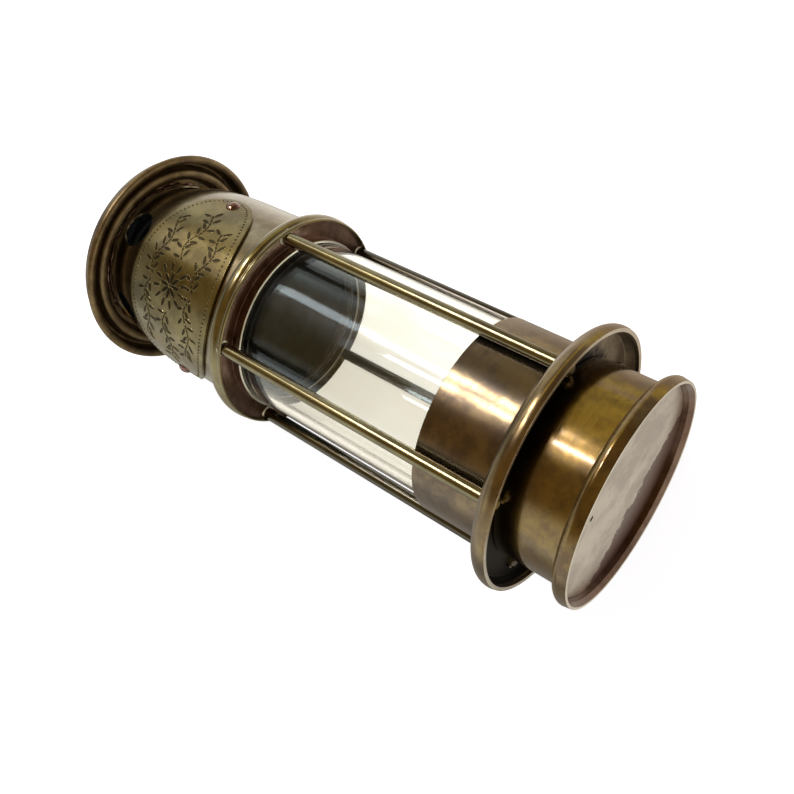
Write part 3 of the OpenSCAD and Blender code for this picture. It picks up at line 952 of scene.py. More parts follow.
@dataclass
class Bonnet:
    """The spun bonnet: a barrel that hardly tapers and a drawn shoulder with round vents."""

    straight: float = 22.4
    taper: float = 0.4
    draw: float = 4.7
    wall: float = 0.7
    vents: int = 6
    vent_d: float = 11
    vent_rise: float = 23.5
    vent_turn: float = -84
    vent_edge: float = 0.12
    flange: float = 4.1
    patch_share: float = 1.4
    patch_cells: int = 12
    patch_rings: int = 7
    patch_bias: float = 0.75
    low_rows: int = 26
    top_rows: int = 3
    hole_tries: int = 8
    seam_tuck: float = 0.05
    flange_lap: Pair = (0.4, 0.2)
    flange_steps: int = 144
    extent: Extent = field(default_factory=lambda: Extent.of("bonnet"))

    @property
    def shoulder_z(self) -> float:
        """Level at which the shoulder starts."""
        return self.extent.low + self.straight

    @property
    def shoulder_radius(self) -> float:
        """Radius where the shoulder starts."""
        return self.extent.radius - self.taper

    @property
    def arc_radius(self) -> float:
        """Radius of the shoulder's arc in section."""
        height = self.extent.high - self.shoulder_z
        return (height**2 + self.draw**2) / (2 * self.draw)

    def along(self, z: float) -> float:
        """Length along the surface from the foot to a level."""
        if z <= self.shoulder_z:
            return z - self.extent.low
        return self.straight + self.arc_radius * math.asin((z - self.shoulder_z) / self.arc_radius)

    def at(self, place_on: Pair, out: float) -> tuple[Vector, Vector]:
        """A point of the surface.

        Args:
            place_on: Turn about the axis in degrees, and length along the surface from the foot.
            out: Distance outwards from the bonnet's outer face.

        Returns:
            The point in millimetres and the outward normal there.
        """
        turn, along = math.radians(place_on[0]), place_on[1]
        if along <= self.straight:
            lean = math.atan2(self.taper, self.straight) * min(1.0, 2 * along / self.straight)
            radius = self.extent.radius - self.taper * along / self.straight
            z = self.extent.low + along
        else:
            lean = (along - self.straight) / self.arc_radius
            radius = self.shoulder_radius - self.arc_radius * (1 - math.cos(lean))
            z = self.shoulder_z + self.arc_radius * math.sin(lean)
            lean = max(lean, math.atan2(self.taper, self.straight))
        way = Vector((math.cos(lean) * math.cos(turn), math.cos(lean) * math.sin(turn), math.sin(lean)))
        return Vector((radius * math.cos(turn), radius * math.sin(turn), z)) + way * out, way

    def hole(self, centre: Pair) -> list[Pair]:
        """Rim of a vent that is drilled square to the surface.

        Args:
            centre: Turn and length along the surface of the vent's centre.

        Returns:
            Points of the rim, anticlockwise from its lower left.
        """
        middle, out = self.at(centre, 0)
        across = Vector((-math.sin(math.radians(centre[0])), math.cos(math.radians(centre[0])), 0))
        upward = out.cross(across)
        count = 4 * self.patch_cells
        reach = self.vent_d / 2 + self.vent_edge
        rim: list[Pair] = []
        for i in range(count):
            angle = math.radians(225 + 360 * i / count)
            want = (reach * math.cos(angle), reach * math.sin(angle))
            spot = (centre[0] + math.degrees(want[0] / self.shoulder_radius), centre[1] + want[1])
            for _ in range(self.hole_tries):
                off = self.at(spot, 0)[0] - middle
                turn = spot[0] + math.degrees((want[0] - off.dot(across)) / self.shoulder_radius)
                spot = (turn, spot[1] + want[1] - off.dot(upward))
            rim.append(spot)
        return rim

    def net(self) -> tuple[list[Pair], list[list[int]]]:
        """Net of the whole bonnet, with a ring of faces round each vent.

        Returns:
            Its points, as turn and length along the surface, and its faces.
        """
        cells = self.patch_cells
        pitch = 360 / self.vents
        step = pitch / (2 * cells)
        columns = 2 * cells * self.vents
        mid = self.along(self.shoulder_z + self.vent_rise)
        half = self.patch_share * self.vent_d / 2
        low_rows, top_rows = self.low_rows, self.top_rows
        levels = [(mid - half) * i / low_rows for i in range(low_rows)]
        levels += [mid - half + 2 * half * i / cells for i in range(cells + 1)]
        top = self.along(self.extent.high)
        levels += [mid + half + (top - mid - half) * i / top_rows for i in range(1, top_rows + 1)]
        points: list[Pair] = []
        index: dict[tuple[int, int], int] = {}
        for row, level in enumerate(levels):
            for k in range(columns):
                inside = 0 < k % (2 * cells) < cells and low_rows < row < low_rows + cells
                if not inside:
                    index[k, row] = len(points)
                    points.append((self.vent_turn + (k - cells / 2) * step, level))
        faces: list[list[int]] = []
        for row in range(len(levels) - 1):
            for k in range(columns):
                if k % (2 * cells) < cells and low_rows <= row < low_rows + cells:
                    continue
                n = (k + 1) % columns
                faces.append([index[k, row], index[n, row], index[n, row + 1], index[k, row + 1]])
        for vent in range(self.vents):
            k0, r0 = 2 * cells * vent, low_rows
            square = [index[k0 + i, r0] for i in range(cells)]
            square += [index[k0 + cells, r0 + i] for i in range(cells)]
            square += [index[k0 + cells - i, r0 + cells] for i in range(cells)]
            square += [index[k0, r0 + cells - i] for i in range(cells)]
            rim = self.hole((self.vent_turn + pitch * vent, mid))
            ring = square
            for q in range(1, self.patch_rings + 1):
                t = (q / self.patch_rings) ** self.patch_bias
                inner: list[int] = []
                for corner, spot in zip(square, rim):
                    inner.append(len(points))
                    a = points[corner]
                    points.append((a[0] + (spot[0] - a[0]) * t, a[1] + (spot[1] - a[1]) * t))
                for i in range(len(ring)):
                    n = (i + 1) % len(ring)
                    faces.append([ring[i], ring[n], inner[n], inner[i]])
                ring = inner
        return points, faces

    def build(self, finishes: Finishes) -> None:
        """Builds the bonnet with its dark lining and the soldered seam at its neck.

        Args:
            finishes: Finishes of the lamp.
        """
        form = Sheet(*self.net(), lambda p, depth: self.at(p, -depth), self.wall)
        shell = form.piece("bonnet_shell")
        shell.data.materials.append(finishes.bonnet)
        shell.data.materials.append(finishes.inside)
        place(shell, Body.CAGE, Slot.DARK, finishes.bonnet, "bonnet")
        top, out = self.at((0, self.along(self.extent.high)), 0)
        foot, under, over = top.x - self.wall - self.flange, top.z - self.wall, top.z - self.seam_tuck
        low_lap, high_lap = self.flange_lap
        seam = [(foot, over), (foot, under), (top.x - low_lap, under), (top.x - high_lap, over)]
        flange = turned("bonnet_flange", seam, self.flange_steps)
        place(flange, Body.CAGE, Slot.DARK, finishes.inside)
        solder = SolderSeam(top.x, top.z, out.z / out.x).piece("solder_seam")
        place(solder, Body.CAGE, Slot.DARK, finishes.seam)


@dataclass
class NamePlate:
    """The oval plate that is wrapped round the bonnet and held by two rivets.

    It is left without words: a border of punched dots and a chased spray of leaves fill it.
    """

    bonnet: Bonnet
    half_angle: float = 69
    thickness: float = 0.8
    fit: float = 0.05
    turn: float = -105
    rivet_inset: float = 8
    rivet_radius: float = 2.1
    rivet_height: float = 1.1
    tail_height: float = 0.7
    edge: float = 0.16
    spokes: int = 168
    rings: int = 24
    dots: int = 124
    dot_inset: float = 1.8
    dot_radius: float = 0.3
    leaf_half: Pair = (1.2, 0.4)
    field_inset: float = 3.2
    rivet_clear: float = 5
    rosette: tuple[tuple[int, float, float], ...] = ((8, 2.2, 1.35), (12, 5.4, 1.2))
    vines: tuple[Pair, ...] = ((0.0, 8.4), (8.6, 1.4), (-8.6, 1.4))
    vine_swing: float = 1.3
    vine_turn: float = 0.55
    stem_step: float = 1.25
    stem_size: float = 0.7
    leaf_size: float = 1.15
    leaf_tilt: float = 56
    leaf_reach: float = 2.0
    leaf_clear: float = 1.0
    leaf_corners: int = 16
    leaf_point: float = 0.3
    leaf_burr: float = 0.08
    dot_corners: int = 10
    dot_burr: float = 0.07
    stem_clear: Pair = (2.6, 1.6)
    stem_slope: float = 1.1
    dish_depth: Pair = (0.02, 0.008)
    burr_rows: tuple[Pair, ...] = ((0, 0.02), (0, 0.075), (1, 0.045), (1.8, -0.02))
    tail_share: float = 0.8
    shank_radius: float = 1.0
    tail_gap: float = 0.06
    rivet_edge: float = 0.15
    rivet_steps: int = 64
    oval_steps: int = 360

    def __post_init__(self) -> None:
        """Takes the plate's levels from the frame."""
        low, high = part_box("name_plate")
        self.half_height = (high.z - low.z) / MM / 2
        self.middle = (high.z + low.z) / MM / 2

    @property
    def face(self) -> float:
        """Distance of the plate's face from the bonnet's."""
        return self.fit + self.thickness

    @property
    def half_width(self) -> float:
        """Half of the plate's length round the bonnet."""
        return math.radians(self.half_angle) * (self.bonnet.extent.radius + self.face)

    def within(self, across: float, up: float) -> bool:
        """Tells whether a flat place lies inside the dotted border and clear of the rivets.

        Args:
            across: Distance from the plate's centre along its length, in millimetres.
            up: Distance from its centre along its height.

        Returns:
            True where a mark may be punched.
        """
        wide, high = self.half_width - self.field_inset, self.half_height - self.field_inset
        rivet = self.half_width * (1 - self.rivet_inset / self.half_angle) - 2 * self.rivet_radius
        return (across / wide) ** 2 + (up / high) ** 2 < 1 and (across < rivet or up > self.rivet_clear)

    def sheet(self) -> bpy.types.Object:
        """Builds the plate from rings of faces round its centre.

        Returns:
            The plate, bent round the bonnet.
        """
        spokes, rings, edge = self.spokes, self.rings, self.edge
        points: list[Pair] = [(self.turn, self.bonnet.along(self.middle))]
        for ring in range(1, rings + 1):
            share = ring / rings
            for k in range(spokes):
                a = 2 * math.pi * k / spokes
                across = share * (self.half_width - edge) * math.cos(a)
                up = share * (self.half_height - edge) * math.sin(a)
                turn = self.turn + self.half_angle * across / self.half_width
                points.append((turn, self.bonnet.along(self.middle + up)))
        faces = [[0, 1 + k, 1 + (k + 1) % spokes] for k in range(spokes)]
        for ring in range(rings - 1):
            base = 1 + ring * spokes
            for k in range(spokes):
                n = (k + 1) % spokes
                faces.append([base + k, base + spokes + k, base + spokes + n, base + n])
        form = Sheet(points, faces, lambda p, d: self.bonnet.at(p, self.face - d), self.thickness, edge)
        return form.piece("oval_plate")

    def wrap(self, g: Pattern, flat: bpy.types.NodeSocket) -> tuple[bpy.types.NodeSocket, ...]:
        """Adds nodes that bend flat places round the bonnet.

        Args:
            g: Tree that gets the nodes.
            flat: Places on the unrolled plate, across and up from its centre, in millimetres.

        Returns:
            Sockets of the bent place in metres, the normal there and the direction across.
        """
        b = self.bonnet
        radius = g.size("Shoulder radius", b.shoulder_radius)
        bend = g.size("Shoulder arc", b.arc_radius)
        start = g.size("Shoulder level", b.shoulder_z)
        middle = g.size("Plate level", self.middle)
        out = g.size("Face height", self.face)
        turn_at = g.size("Plate turn", math.radians(self.turn))
        face_radius = g.size("Face radius", b.extent.radius + self.face)
        across, up, _ = g.split(flat)
        z = g.math("ADD", up, middle)
        turn = g.math("ADD", g.math("DIVIDE", across, face_radius), turn_at)
        above = g.math("SUBTRACT", z, start)
        rise = g.math("MAXIMUM", above, 0.0)
        drop = g.math("MAXIMUM", g.math("MULTIPLY", above, -1.0), 0.0)
        whole = g.math("ADD", bend, out)
        lean = g.math("DIVIDE", rise, whole)
        flatness = g.math("SQRT", g.math("SUBTRACT", 1.0, g.math("MULTIPLY", lean, lean)))
        r = g.plus(g.math("SUBTRACT", radius, bend), whole, flatness)
        r = g.plus(r, drop, b.taper / b.straight)
        cos, sin = g.math("COSINE", turn), g.math("SINE", turn)
        spot = g.combine(g.math("MULTIPLY", r, cos), g.math("MULTIPLY", r, sin), z)
        normal = g.combine(g.math("MULTIPLY", flatness, cos), g.math("MULTIPLY", flatness, sin), lean)
        across_way = g.combine(g.math("MULTIPLY", sin, -1.0), cos, 0.0)
        return g.scaled(spot, MM), normal, across_way

    def stamp(self, name: str, outline: Sequence[Pair], burr: float) -> tuple[bpy.types.Object, ...]:
        """Makes one punch mark: the dark dish that the punch leaves and the burr raised round it.

        Args:
            name: Name of the mark.
            outline: Corners of the dish, in millimetres about its centre.
            burr: Width of the burr.

        Returns:
            The dish and the burr, each as an object that patterns copy.
        """
        count = len(outline)
        rows = [(1.0 + share * burr, height) for share, height in self.burr_rows]
        brim, base = self.dish_depth
        dish = [Vector((x, y, brim)) * MM for x, y in outline] + [Vector((0, 0, base)) * MM]
        spokes = [[i, (i + 1) % count, count] for i in range(count)]
        ring: list[Vector] = []
        walls: list[list[int]] = []
        for share, height in rows:
            for x, y in outline:
                reach = math.hypot(x, y)
                grown = (reach + share - 1.0) / reach
                ring.append(Vector((x * grown, y * grown, height)) * MM)
        for row in range(len(rows) - 1):
            for i in range(count):
                n = (i + 1) % count
                a, c = row * count, (row + 1) * count
                walls.append([a + i, c + i, c + n, a + n])
        return plain_mesh(f"{name}_dish", dish, spokes), plain_mesh(f"{name}_burr", ring, walls)

    def punched(
        self,
        name: str,
        finishes: Finishes,
        points: bpy.types.Object,
        marks: tuple[bpy.types.Object, ...],
        ring: bool,
    ) -> bpy.types.Object:
        """Repeats a punch mark over the plate.

        Args:
            name: Name of the piece.
            finishes: Finishes of the lamp.
            points: Flat places with the attributes bearing and scale, unless ring is true.
            marks: Dish and burr to repeat.
            ring: Whether the marks follow the plate's edge in equal steps.

        Returns:
            The finished piece.
        """
        g = Pattern(name)
        if ring:
            inset = g.size("Inset", self.dot_inset)
            count = g.size("Dots", self.dots, "Int")
            inputs = {"Resolution": self.oval_steps, "Radius": 1.0}
            circle = g.add("GeometryNodeCurvePrimitiveCircle", inputs)
            wide = g.math("SUBTRACT", g.size("Half width", self.half_width), inset)
            high = g.math("SUBTRACT", g.size("Half height", self.half_height), inset)
            oval = g.add(
                "GeometryNodeTransform", {"Geometry": circle.outputs[0], "Scale": g.combine(wide, high, 1.0)}
            )
            even = g.add("GeometryNodeResampleCurve", {"Curve": oval.outputs[0], "Count": count})
            source, bearing, scale = even.outputs[0], 0.0, 1.0
        else:
            source = g.entry.outputs[0]
            bearing = self.named(g, "bearing")
            scale = self.named(g, "scale")
        flat = g.add("GeometryNodeInputPosition").outputs[0]
        spot, normal, across = self.wrap(g, flat)
        up = g.vector("CROSS_PRODUCT", normal, across).outputs[0]
        first, second = g.scaled(across, g.math("COSINE", bearing)), g.scaled(up, g.math("SINE", bearing))
        way = g.vector("ADD", first, second).outputs[0]
        turn = g.add("FunctionNodeAxesToRotation", {0: normal, 1: way}, primary_axis="Z", secondary_axis="X")
        kept = g.add("GeometryNodeCaptureAttribute", {"Geometry": source})
        kept.capture_items.new("ROTATION", "Turn")
        kept.capture_items.new("FLOAT", "Size")
        g.feed(kept, {"Turn": turn.outputs[0], "Size": scale})
        bent = g.add("GeometryNodeSetPosition", {"Geometry": kept.outputs["Geometry"], "Position": spot})
        parts: list[tuple[bpy.types.NodeSocket, bpy.types.Material]] = []
        for label, mark, material in zip(("Dish", "Burr"), marks, (finishes.engraved, finishes.plate)):
            inputs = {
                "Points": bent.outputs[0],
                "Instance": g.shown(g.size(label, mark, "Object")),
                "Rotation": kept.outputs["Turn"],
                "Scale": kept.outputs["Size"],
            }
            parts.append((g.add("GeometryNodeInstanceOnPoints", inputs).outputs[0], material))
        made = g.run(points, parts)
        made.name = name
        for mark in marks:
            bpy.data.objects.remove(mark)
        return made

    @staticmethod
    def named(g: Pattern, name: str) -> bpy.types.NodeSocket:
        """Reads a named number of each point."""
        return g.add("GeometryNodeInputNamedAttribute", {"Name": name}, data_type="FLOAT").outputs[0]

    def spray(self) -> bpy.types.Object:
        """Lays out the chased ornament: a rosette with a wavy leafed stem on each side.

        Returns:
            Points on the unrolled plate, each with its bearing and scale.
        """
        points: list[Vector] = []
        bearings: list[float] = []
        scales: list[float] = []

        def leaf(x: float, y: float, bearing: float, scale: float) -> None:
            """Adds one leaf mark.

            Args:
                x: Place across the unrolled plate, in millimetres.
                y: Place up from its centre.
                bearing: Direction of the leaf, in radians.
                scale: Size of the leaf.
            """
            points.append(Vector((x, y, 0)))
            bearings.append(bearing)
            scales.append(scale)

        for ring, (count, reach, scale) in enumerate(self.rosette):
            for k in range(count):
                a = 2 * math.pi * (k + 0.5 * ring) / count
                leaf(reach * math.cos(a), reach * math.sin(a), a, scale)
        swing, most = self.vine_swing, round(self.half_width / self.stem_step)
        for level, start in self.vines:
            for side in (-1, 1):
                for k in range(most):
                    x, wave = start + self.stem_step * k, swing * math.sin(k * self.vine_turn)
                    slope = math.atan(swing * self.vine_turn * math.cos(k * self.vine_turn) / self.stem_slope)
                    if not self.within(x + self.stem_clear[0], abs(level) + self.stem_clear[1]):
                        break
                    leaf(side * x, level + wave, slope * side, self.stem_size)
                    if k % 2:
                        continue
                    for way in (-1, 1):
                        tilt = slope + way * math.radians(self.leaf_tilt)
                        tip_x = x + self.leaf_reach * math.cos(tilt)
                        tip_y = level + wave + self.leaf_reach * math.sin(tilt)
                        if self.within(tip_x + self.leaf_clear, abs(tip_y) + self.leaf_clear):
                            leaf(side * tip_x, tip_y, tilt * side, self.leaf_size)
        return loose_points("spray_points", points, bearing=bearings, scale=scales)

    def build(self, finishes: Finishes) -> None:
        """Builds the plate, its punched border, its ornament and its two rivets.

        Args:
            finishes: Finishes of the lamp.
        """
        plate = self.sheet()
        plate.data.materials.append(finishes.plate)
        plate.data.materials.append(finishes.dark)
        place(plate, Body.CAGE, Slot.GOLDEN, finishes.plate, "name_plate")
        dot = self.stamp("dot", arc((0, 0), self.dot_radius, 0, 360, self.dot_corners)[:-1], self.dot_burr)
        start = loose_points("border_points", [])
        border = self.punched("plate_border", finishes, start, dot, True)
        place(border, Body.CAGE, Slot.GOLDEN, finishes.plate)
        long, wide = self.leaf_half
        circle = arc((0, 0), 1.0, 0, 360, self.leaf_corners)[:-1]
        lens = [(long * x, wide * y * abs(y) ** self.leaf_point) for x, y in circle]
        leaf = self.stamp("leaf", lens, self.leaf_burr)
        chasing = self.punched("plate_chasing", finishes, self.spray(), leaf, False)
        place(chasing, Body.CAGE, Slot.GOLDEN, finishes.plate)
        self.rivets(finishes)

    def rivets(self, finishes: Finishes) -> None:
        """Builds the two domed rivets with their tails inside the bonnet.

        Args:
            finishes: Finishes of the lamp.
        """
        b = self.bonnet
        r, h = self.rivet_radius, self.rivet_height
        dome = (r * r + h * h) / (2 * h)
        half = math.degrees(math.asin(r / dome))
        grip, wide, shank = self.face + b.wall + self.tail_gap, self.tail_share * r, self.shank_radius
        tail = -grip - self.tail_height
        outline = [(0, tail), (wide, tail), (wide, -grip), (shank, -grip), (shank, 0)]
        outline += arc((0, h - dome), dome, 90 - half, 90, steps=8)
        seat = b.along(self.middle)
        for number, side in enumerate((-1, 1), 1):
            turn = self.turn + side * (self.half_angle - self.rivet_inset)
            spot, way = b.at((turn, seat), self.face)
            rivet = turned(f"plate_rivet_{number}", eased(outline, self.rivet_edge), self.rivet_steps)
            facing = way.to_track_quat("Z", "Y").to_matrix().to_4x4()
            rivet.data.transform(Matrix.Translation(spot * MM) @ facing)
            nodes = ("plate_rivets",) if number == 1 else ()
            place(rivet, Body.CAGE, Slot.COPPER, finishes.copper, *nodes)


def solder_drop(
    name: str, size: Sequence[float], seed: float, lumps: float = 0.22, pitch: float = 1.7
) -> bpy.types.Object:
    """Makes a lumpy drop of solder about the origin.

    Args:
        name: Name of the object.
        size: Half sizes along the three axes, in millimetres.
        seed: Shifts the lumps.
        lumps: Height of the lumps, as a share of the drop.
        pitch: How close the lumps lie.

    Returns:
        The drop.
    """
    work = bmesh.new()
    bmesh.ops.create_icosphere(work, subdivisions=3, radius=1)
    for vert in work.verts:
        lump = 1 + lumps * noise.noise(vert.co * pitch + Vector((seed, 0, 0)))
        vert.co = Vector(c * s * lump * MM for c, s in zip(vert.co, size))
    mesh = bpy.data.meshes.new(name)
    work.to_mesh(mesh)
    work.free()
    mesh.polygons.foreach_set("use_smooth", [True] * len(mesh.polygons))
    return new_object(name, mesh)


@dataclass
class Tank:
    """The oil tank with its bead foot, its soldered bottom and the burner that lifts out of its top."""

    foot_flare: float = 3.3
    foot_height: float = 4.4
    lip: float = 0.6
    wall: float = 0.9
    body_height: float = 21.2
    edge: float = 0.25
    crease: float = 0.3
    painted_light_above: float = 0.8
    crest_depth: float = 0.2
    recess_clear: float = 0.05
    lip_crest: Pair = (1.6, 0.6)
    painted_light_way: float = 0.35
    inward: float = -0.5
    plate_edge: float = 0.1
    pip_at: Pair = (-8.4, -15.5)
    pip_half: Triple = (0.75, 0.5, 0.12)
    pip_seed: float = 1.7

    def outline(self) -> list[Pair]:
        """Outline of the tank's wall with its foot and neck.

        Returns:
            Points of radius and height, from the neck's inside round to its outside.
        """
        whole, plate, neck = Extent.of("oil_tank"), Extent.of("tank_bottom"), Extent.of("tank_deck").radius
        body = whole.radius - self.foot_flare
        recess, bead = plate.radius + self.recess_clear, self.foot_height / 2
        centre = (whole.radius - bead, bead)
        inside = [
            (neck - self.wall, whole.high),
            (neck - self.wall, self.body_height - self.wall),
            (body - self.wall, self.body_height - self.wall),
            (body - self.wall, plate.high),
            (recess, plate.high),
            (recess, 2 * self.lip),
            (whole.radius - self.lip_crest[0] * self.lip, 0),
            (whole.radius - self.lip_crest[1] * self.lip, 0),
        ]
        aside = body + self.crease - centre[0]
        above = math.sqrt((bead + self.crease) ** 2 - aside**2)
        meet = math.degrees(math.atan2(above, aside))
        fillet = arc((body + self.crease, centre[1] + above), self.crease, meet - 180, -180, steps=6)
        outside = [(body, self.body_height), (neck, self.body_height), (neck, whole.high)]
        bow = arc(centre, bead, 0, meet, steps=20)[:-1]
        return eased(inside + bow + fillet + outside, self.edge)

    def build(self, finishes: Finishes) -> None:
        """Builds and dresses the tank, its plates, the burner and the wick.

        Args:
            finishes: Finishes of the lamp.
        """
        shell = turned("tank_shell", self.outline())
        plate, bead_top = Extent.of("tank_bottom"), self.foot_height + self.painted_light_above
        high, inward = plate.high, self.inward
        recoat(
            shell,
            finishes.tank,
            # painted light on the upper side of the foot's bead
            (finishes.painted_light, lambda at, way: at.z < bead_top and way.z > self.painted_light_way),
            (finishes.shade, lambda at, way: at.z < high and way.xy.dot(at.xy) < inward * at.xy.length),
            # painted highlight along the lip's crest
            (finishes.painted_glint, lambda at, way: at.z < self.crest_depth and way.z < DOWNWARD),
        )
        place(shell, Body.TANK, Slot.POLISHED, finishes.tank, "oil_tank")
        disc = turned("bottom_plate", eased(walled(0, plate), self.plate_edge))
        place(disc, Body.TANK, Slot.TINNED, finishes.bottom, "tank_bottom")
        pip = solder_drop("bottom_pip", self.pip_half, self.pip_seed)
        pip.data.transform(Matrix.Translation(Vector((*self.pip_at, plate.low)) * MM))
        place(pip, Body.TANK, Slot.TINNED, finishes.soot_and_shade)
        place_copies((
            ("top_plate", "tank_deck", Body.TANK, Slot.DARK, finishes.dark),
            ("filler", "filler_neck", Body.TANK, Slot.DARK, finishes.dark),
            ("burner", "burner_plug", Body.BURNER, Slot.GOLDEN, finishes.golden),
            ("burner_tube", "wick_tube", Body.BURNER, Slot.GOLDEN, finishes.golden),
            ("cotton_wick", "wick", Body.WICK, Slot.COTTON, finishes.cotton),
        ))


@dataclass
class Cage:
    """The fixed body between tank and bonnet: base ring, sleeve, glass, pillars and upper ring."""

    base_wall: float = 1.4
    base_taper: float = 0.9
    base_round: float = 1.8
    base_roll: float = 24
    base_tuck: float = 0.31
    base_shoulder: float = 52
    sleeve_wall: float = 0.6
    glass_wall: float = 2.0
    band_radius: float = 2.6
    pillar_radius: float = 1.8
    tenon_radius: float = 1.2
    pillar_turn: float = -50
    pillars: int = 5
    lip_wall: float = 0.6
    lip_drop: float = 1.3
    collar_drop: float = 2.7
    rebate: float = 0.8
    low_bead: Triple = (1.3, 1.6, 0.6)
    high_bead: Triple = (2.4, 2.4, 0.4)
    bore_clear: float = 0.08
    base_foot: float = 0.2
    base_inner_end: float = 12
    base_edge: float = 0.25
    soot_shade_inset: float = 0.1
    soot_shade_above: float = 2.0
    foot_glint: float = 0.1
    lip_inset: float = 0.35
    glass_clear: float = 0.15
    seat_clear: float = 0.05
    throat_inset: float = 0.6
    upper_edge: float = 0.18
    shade_inset: float = 1.2
    collar_glint: Pair = (0.15, 2)
    sleeve_edge: float = 0.2
    glass_edge: float = 0.3
    pillar_clear: float = 0.05
    pillar_edge: float = 0.12
    burr_width: float = 0.4
    burr_share: float = 0.6
    burr_height: float = 0.42
    bead_sinks: Pair = (0.5, 0.1)
    bead_seeds: Pair = (0.3, 4.1)
    glass_steps: int = 256
    pillar_steps: int = 48

    def base_ring(self) -> list[Pair]:
        """Outline of the rounded base ring with its turned-down edge.

        Returns:
            Points of radius and height, down the outer face and up the inner one.
        """
        ring, bore = Extent.of("base_ring"), Extent.of("tank_deck").radius + self.bore_clear
        centre = (ring.radius - self.base_taper - self.base_round, ring.high - self.base_round)
        edge = [(bore, ring.high)] + arc(centre, self.base_round, 90, self.base_shoulder, steps=8)
        roll = math.radians(self.base_roll)
        last, end = Vector(edge[-1]), Vector((ring.radius - self.base_tuck, ring.low + self.base_foot))
        start = 2 * math.atan2(end.x - last.x, last.y - end.y) + roll
        swell = (end - last).length / (2 * math.sin((start + roll) / 2))
        middle = (end.x - swell * math.cos(roll), end.y + swell * math.sin(roll))
        edge += arc(middle, swell, math.degrees(start), -self.base_roll, steps=18)[1:]
        edge.append((end.x, ring.low))
        wall, within = self.base_wall, ring.radius - self.base_wall
        inner = [(bore, ring.high - wall)]
        inner += arc(centre, self.base_round - wall, 90, self.base_inner_end, steps=6)
        inner += [(within, ring.low + wall), (within, ring.low)]
        return eased(edge + inner[::-1], self.base_edge)

    def upper_ring(self) -> list[Pair]:
        """Outline of the upper ring: flange, bead lip, rounded band, rebate and the glass's collar.

        Returns:
            Points of radius and height, along the lower face and back along the upper one.
        """
        ring, glass = Extent.of("upper_ring"), Extent.of("glass_chimney")
        under, band_r = Extent.of("upper_gasket").high, self.band_radius
        thick = ring.high - under
        lip = ring.radius - self.lip_inset
        bead = (lip - self.lip_wall, under - self.lip_drop + self.lip_wall)
        half = math.degrees(math.asin(thick / 2 / band_r))
        collar = glass.radius + self.glass_clear
        seat = Extent.of("bonnet").radius + self.seat_clear
        hole = glass.radius - self.glass_wall + self.throat_inset
        path = [
            (hole, under),
            (collar, under),
            (collar, under - self.collar_drop),
            (collar + self.lip_wall, under - self.collar_drop),
            (collar + self.lip_wall, under),
            (lip - self.lip_wall, under),
            (lip - self.lip_wall, bead[1] - self.lip_wall / 2),
        ]
        path += arc(bead, self.lip_wall, -90, 0, steps=10)
        path += arc((ring.radius - band_r, ring.high - thick / 2), band_r, -half, half, steps=14)
        path += [(seat, ring.high), (seat, ring.high - self.rebate), (hole, ring.high - self.rebate)]
        return eased(path, self.upper_edge)

    def pitch(self) -> float:
        """Distance of the pillars from the lamp's axis."""
        return Extent.of("lower_sleeve").radius + self.pillar_clear + self.pillar_radius

    def round_pillars(
        self, name: str, start: bpy.types.Object, material: bpy.types.Material, level: float
    ) -> bpy.types.Object:
        """Repeats a shape at every pillar.

        Args:
            name: Name of the piece.
            start: The shape, standing on the lamp's axis.
            material: Its material.
            level: Height to lift it to.

        Returns:
            One piece with a copy at each pillar.
        """
        g = Pattern(name)
        count = g.size("Pillars", self.pillars, "Int")
        reach = g.size("Pitch radius", self.pitch() * MM)
        first = g.size("First pillar", math.radians(self.pillar_turn))
        lift = g.size("Level", level * MM)
        circle = g.add("GeometryNodeMeshCircle", {"Vertices": count, "Radius": reach})
        moved = g.add(
            "GeometryNodeTransform",
            {
                "Geometry": circle.outputs[0],
                "Translation": g.combine(0.0, 0.0, lift),
                "Rotation": g.combine(0.0, 0.0, first),
            },
        )
        place_at = g.add("GeometryNodeInputPosition").outputs[0]
        outward = {"Vector": g.vector("MULTIPLY", place_at, (1, 1, 0)).outputs[0]}
        facing = g.add("FunctionNodeAlignRotationToVector", outward, axis="X", pivot_axis="Z").outputs[0]
        inputs = {"Points": moved.outputs[0], "Instance": g.entry.outputs[0], "Rotation": facing}
        copies = g.add("GeometryNodeInstanceOnPoints", inputs)
        made = g.run(start, [(copies.outputs[0], material)])
        made.name = name
        return made

    def pillar(self) -> bpy.types.Object:
        """Turns one pillar with its tenons and the riveted lower end.

        Returns:
            The pillar, standing on the lamp's axis.
        """
        rod, web, under = Extent.of("pillar_1"), Extent.of("base_ring").high, Extent.of("upper_gasket").high
        washers, tenon, wide = Extent.of("pillar_washers").low, self.tenon_radius, self.pillar_radius
        burr = tenon + self.burr_width
        outline = [(0, rod.low), (self.burr_share * burr, rod.low)]
        outline += [(burr, rod.low + self.burr_height), (burr, washers)]
        outline += [(tenon, washers), (tenon, web), (wide, web), (wide, under), (tenon, under)]
        outline += [(tenon, rod.high), (0, rod.high)]
        return turned("one_pillar", eased(outline, self.pillar_edge), self.pillar_steps)

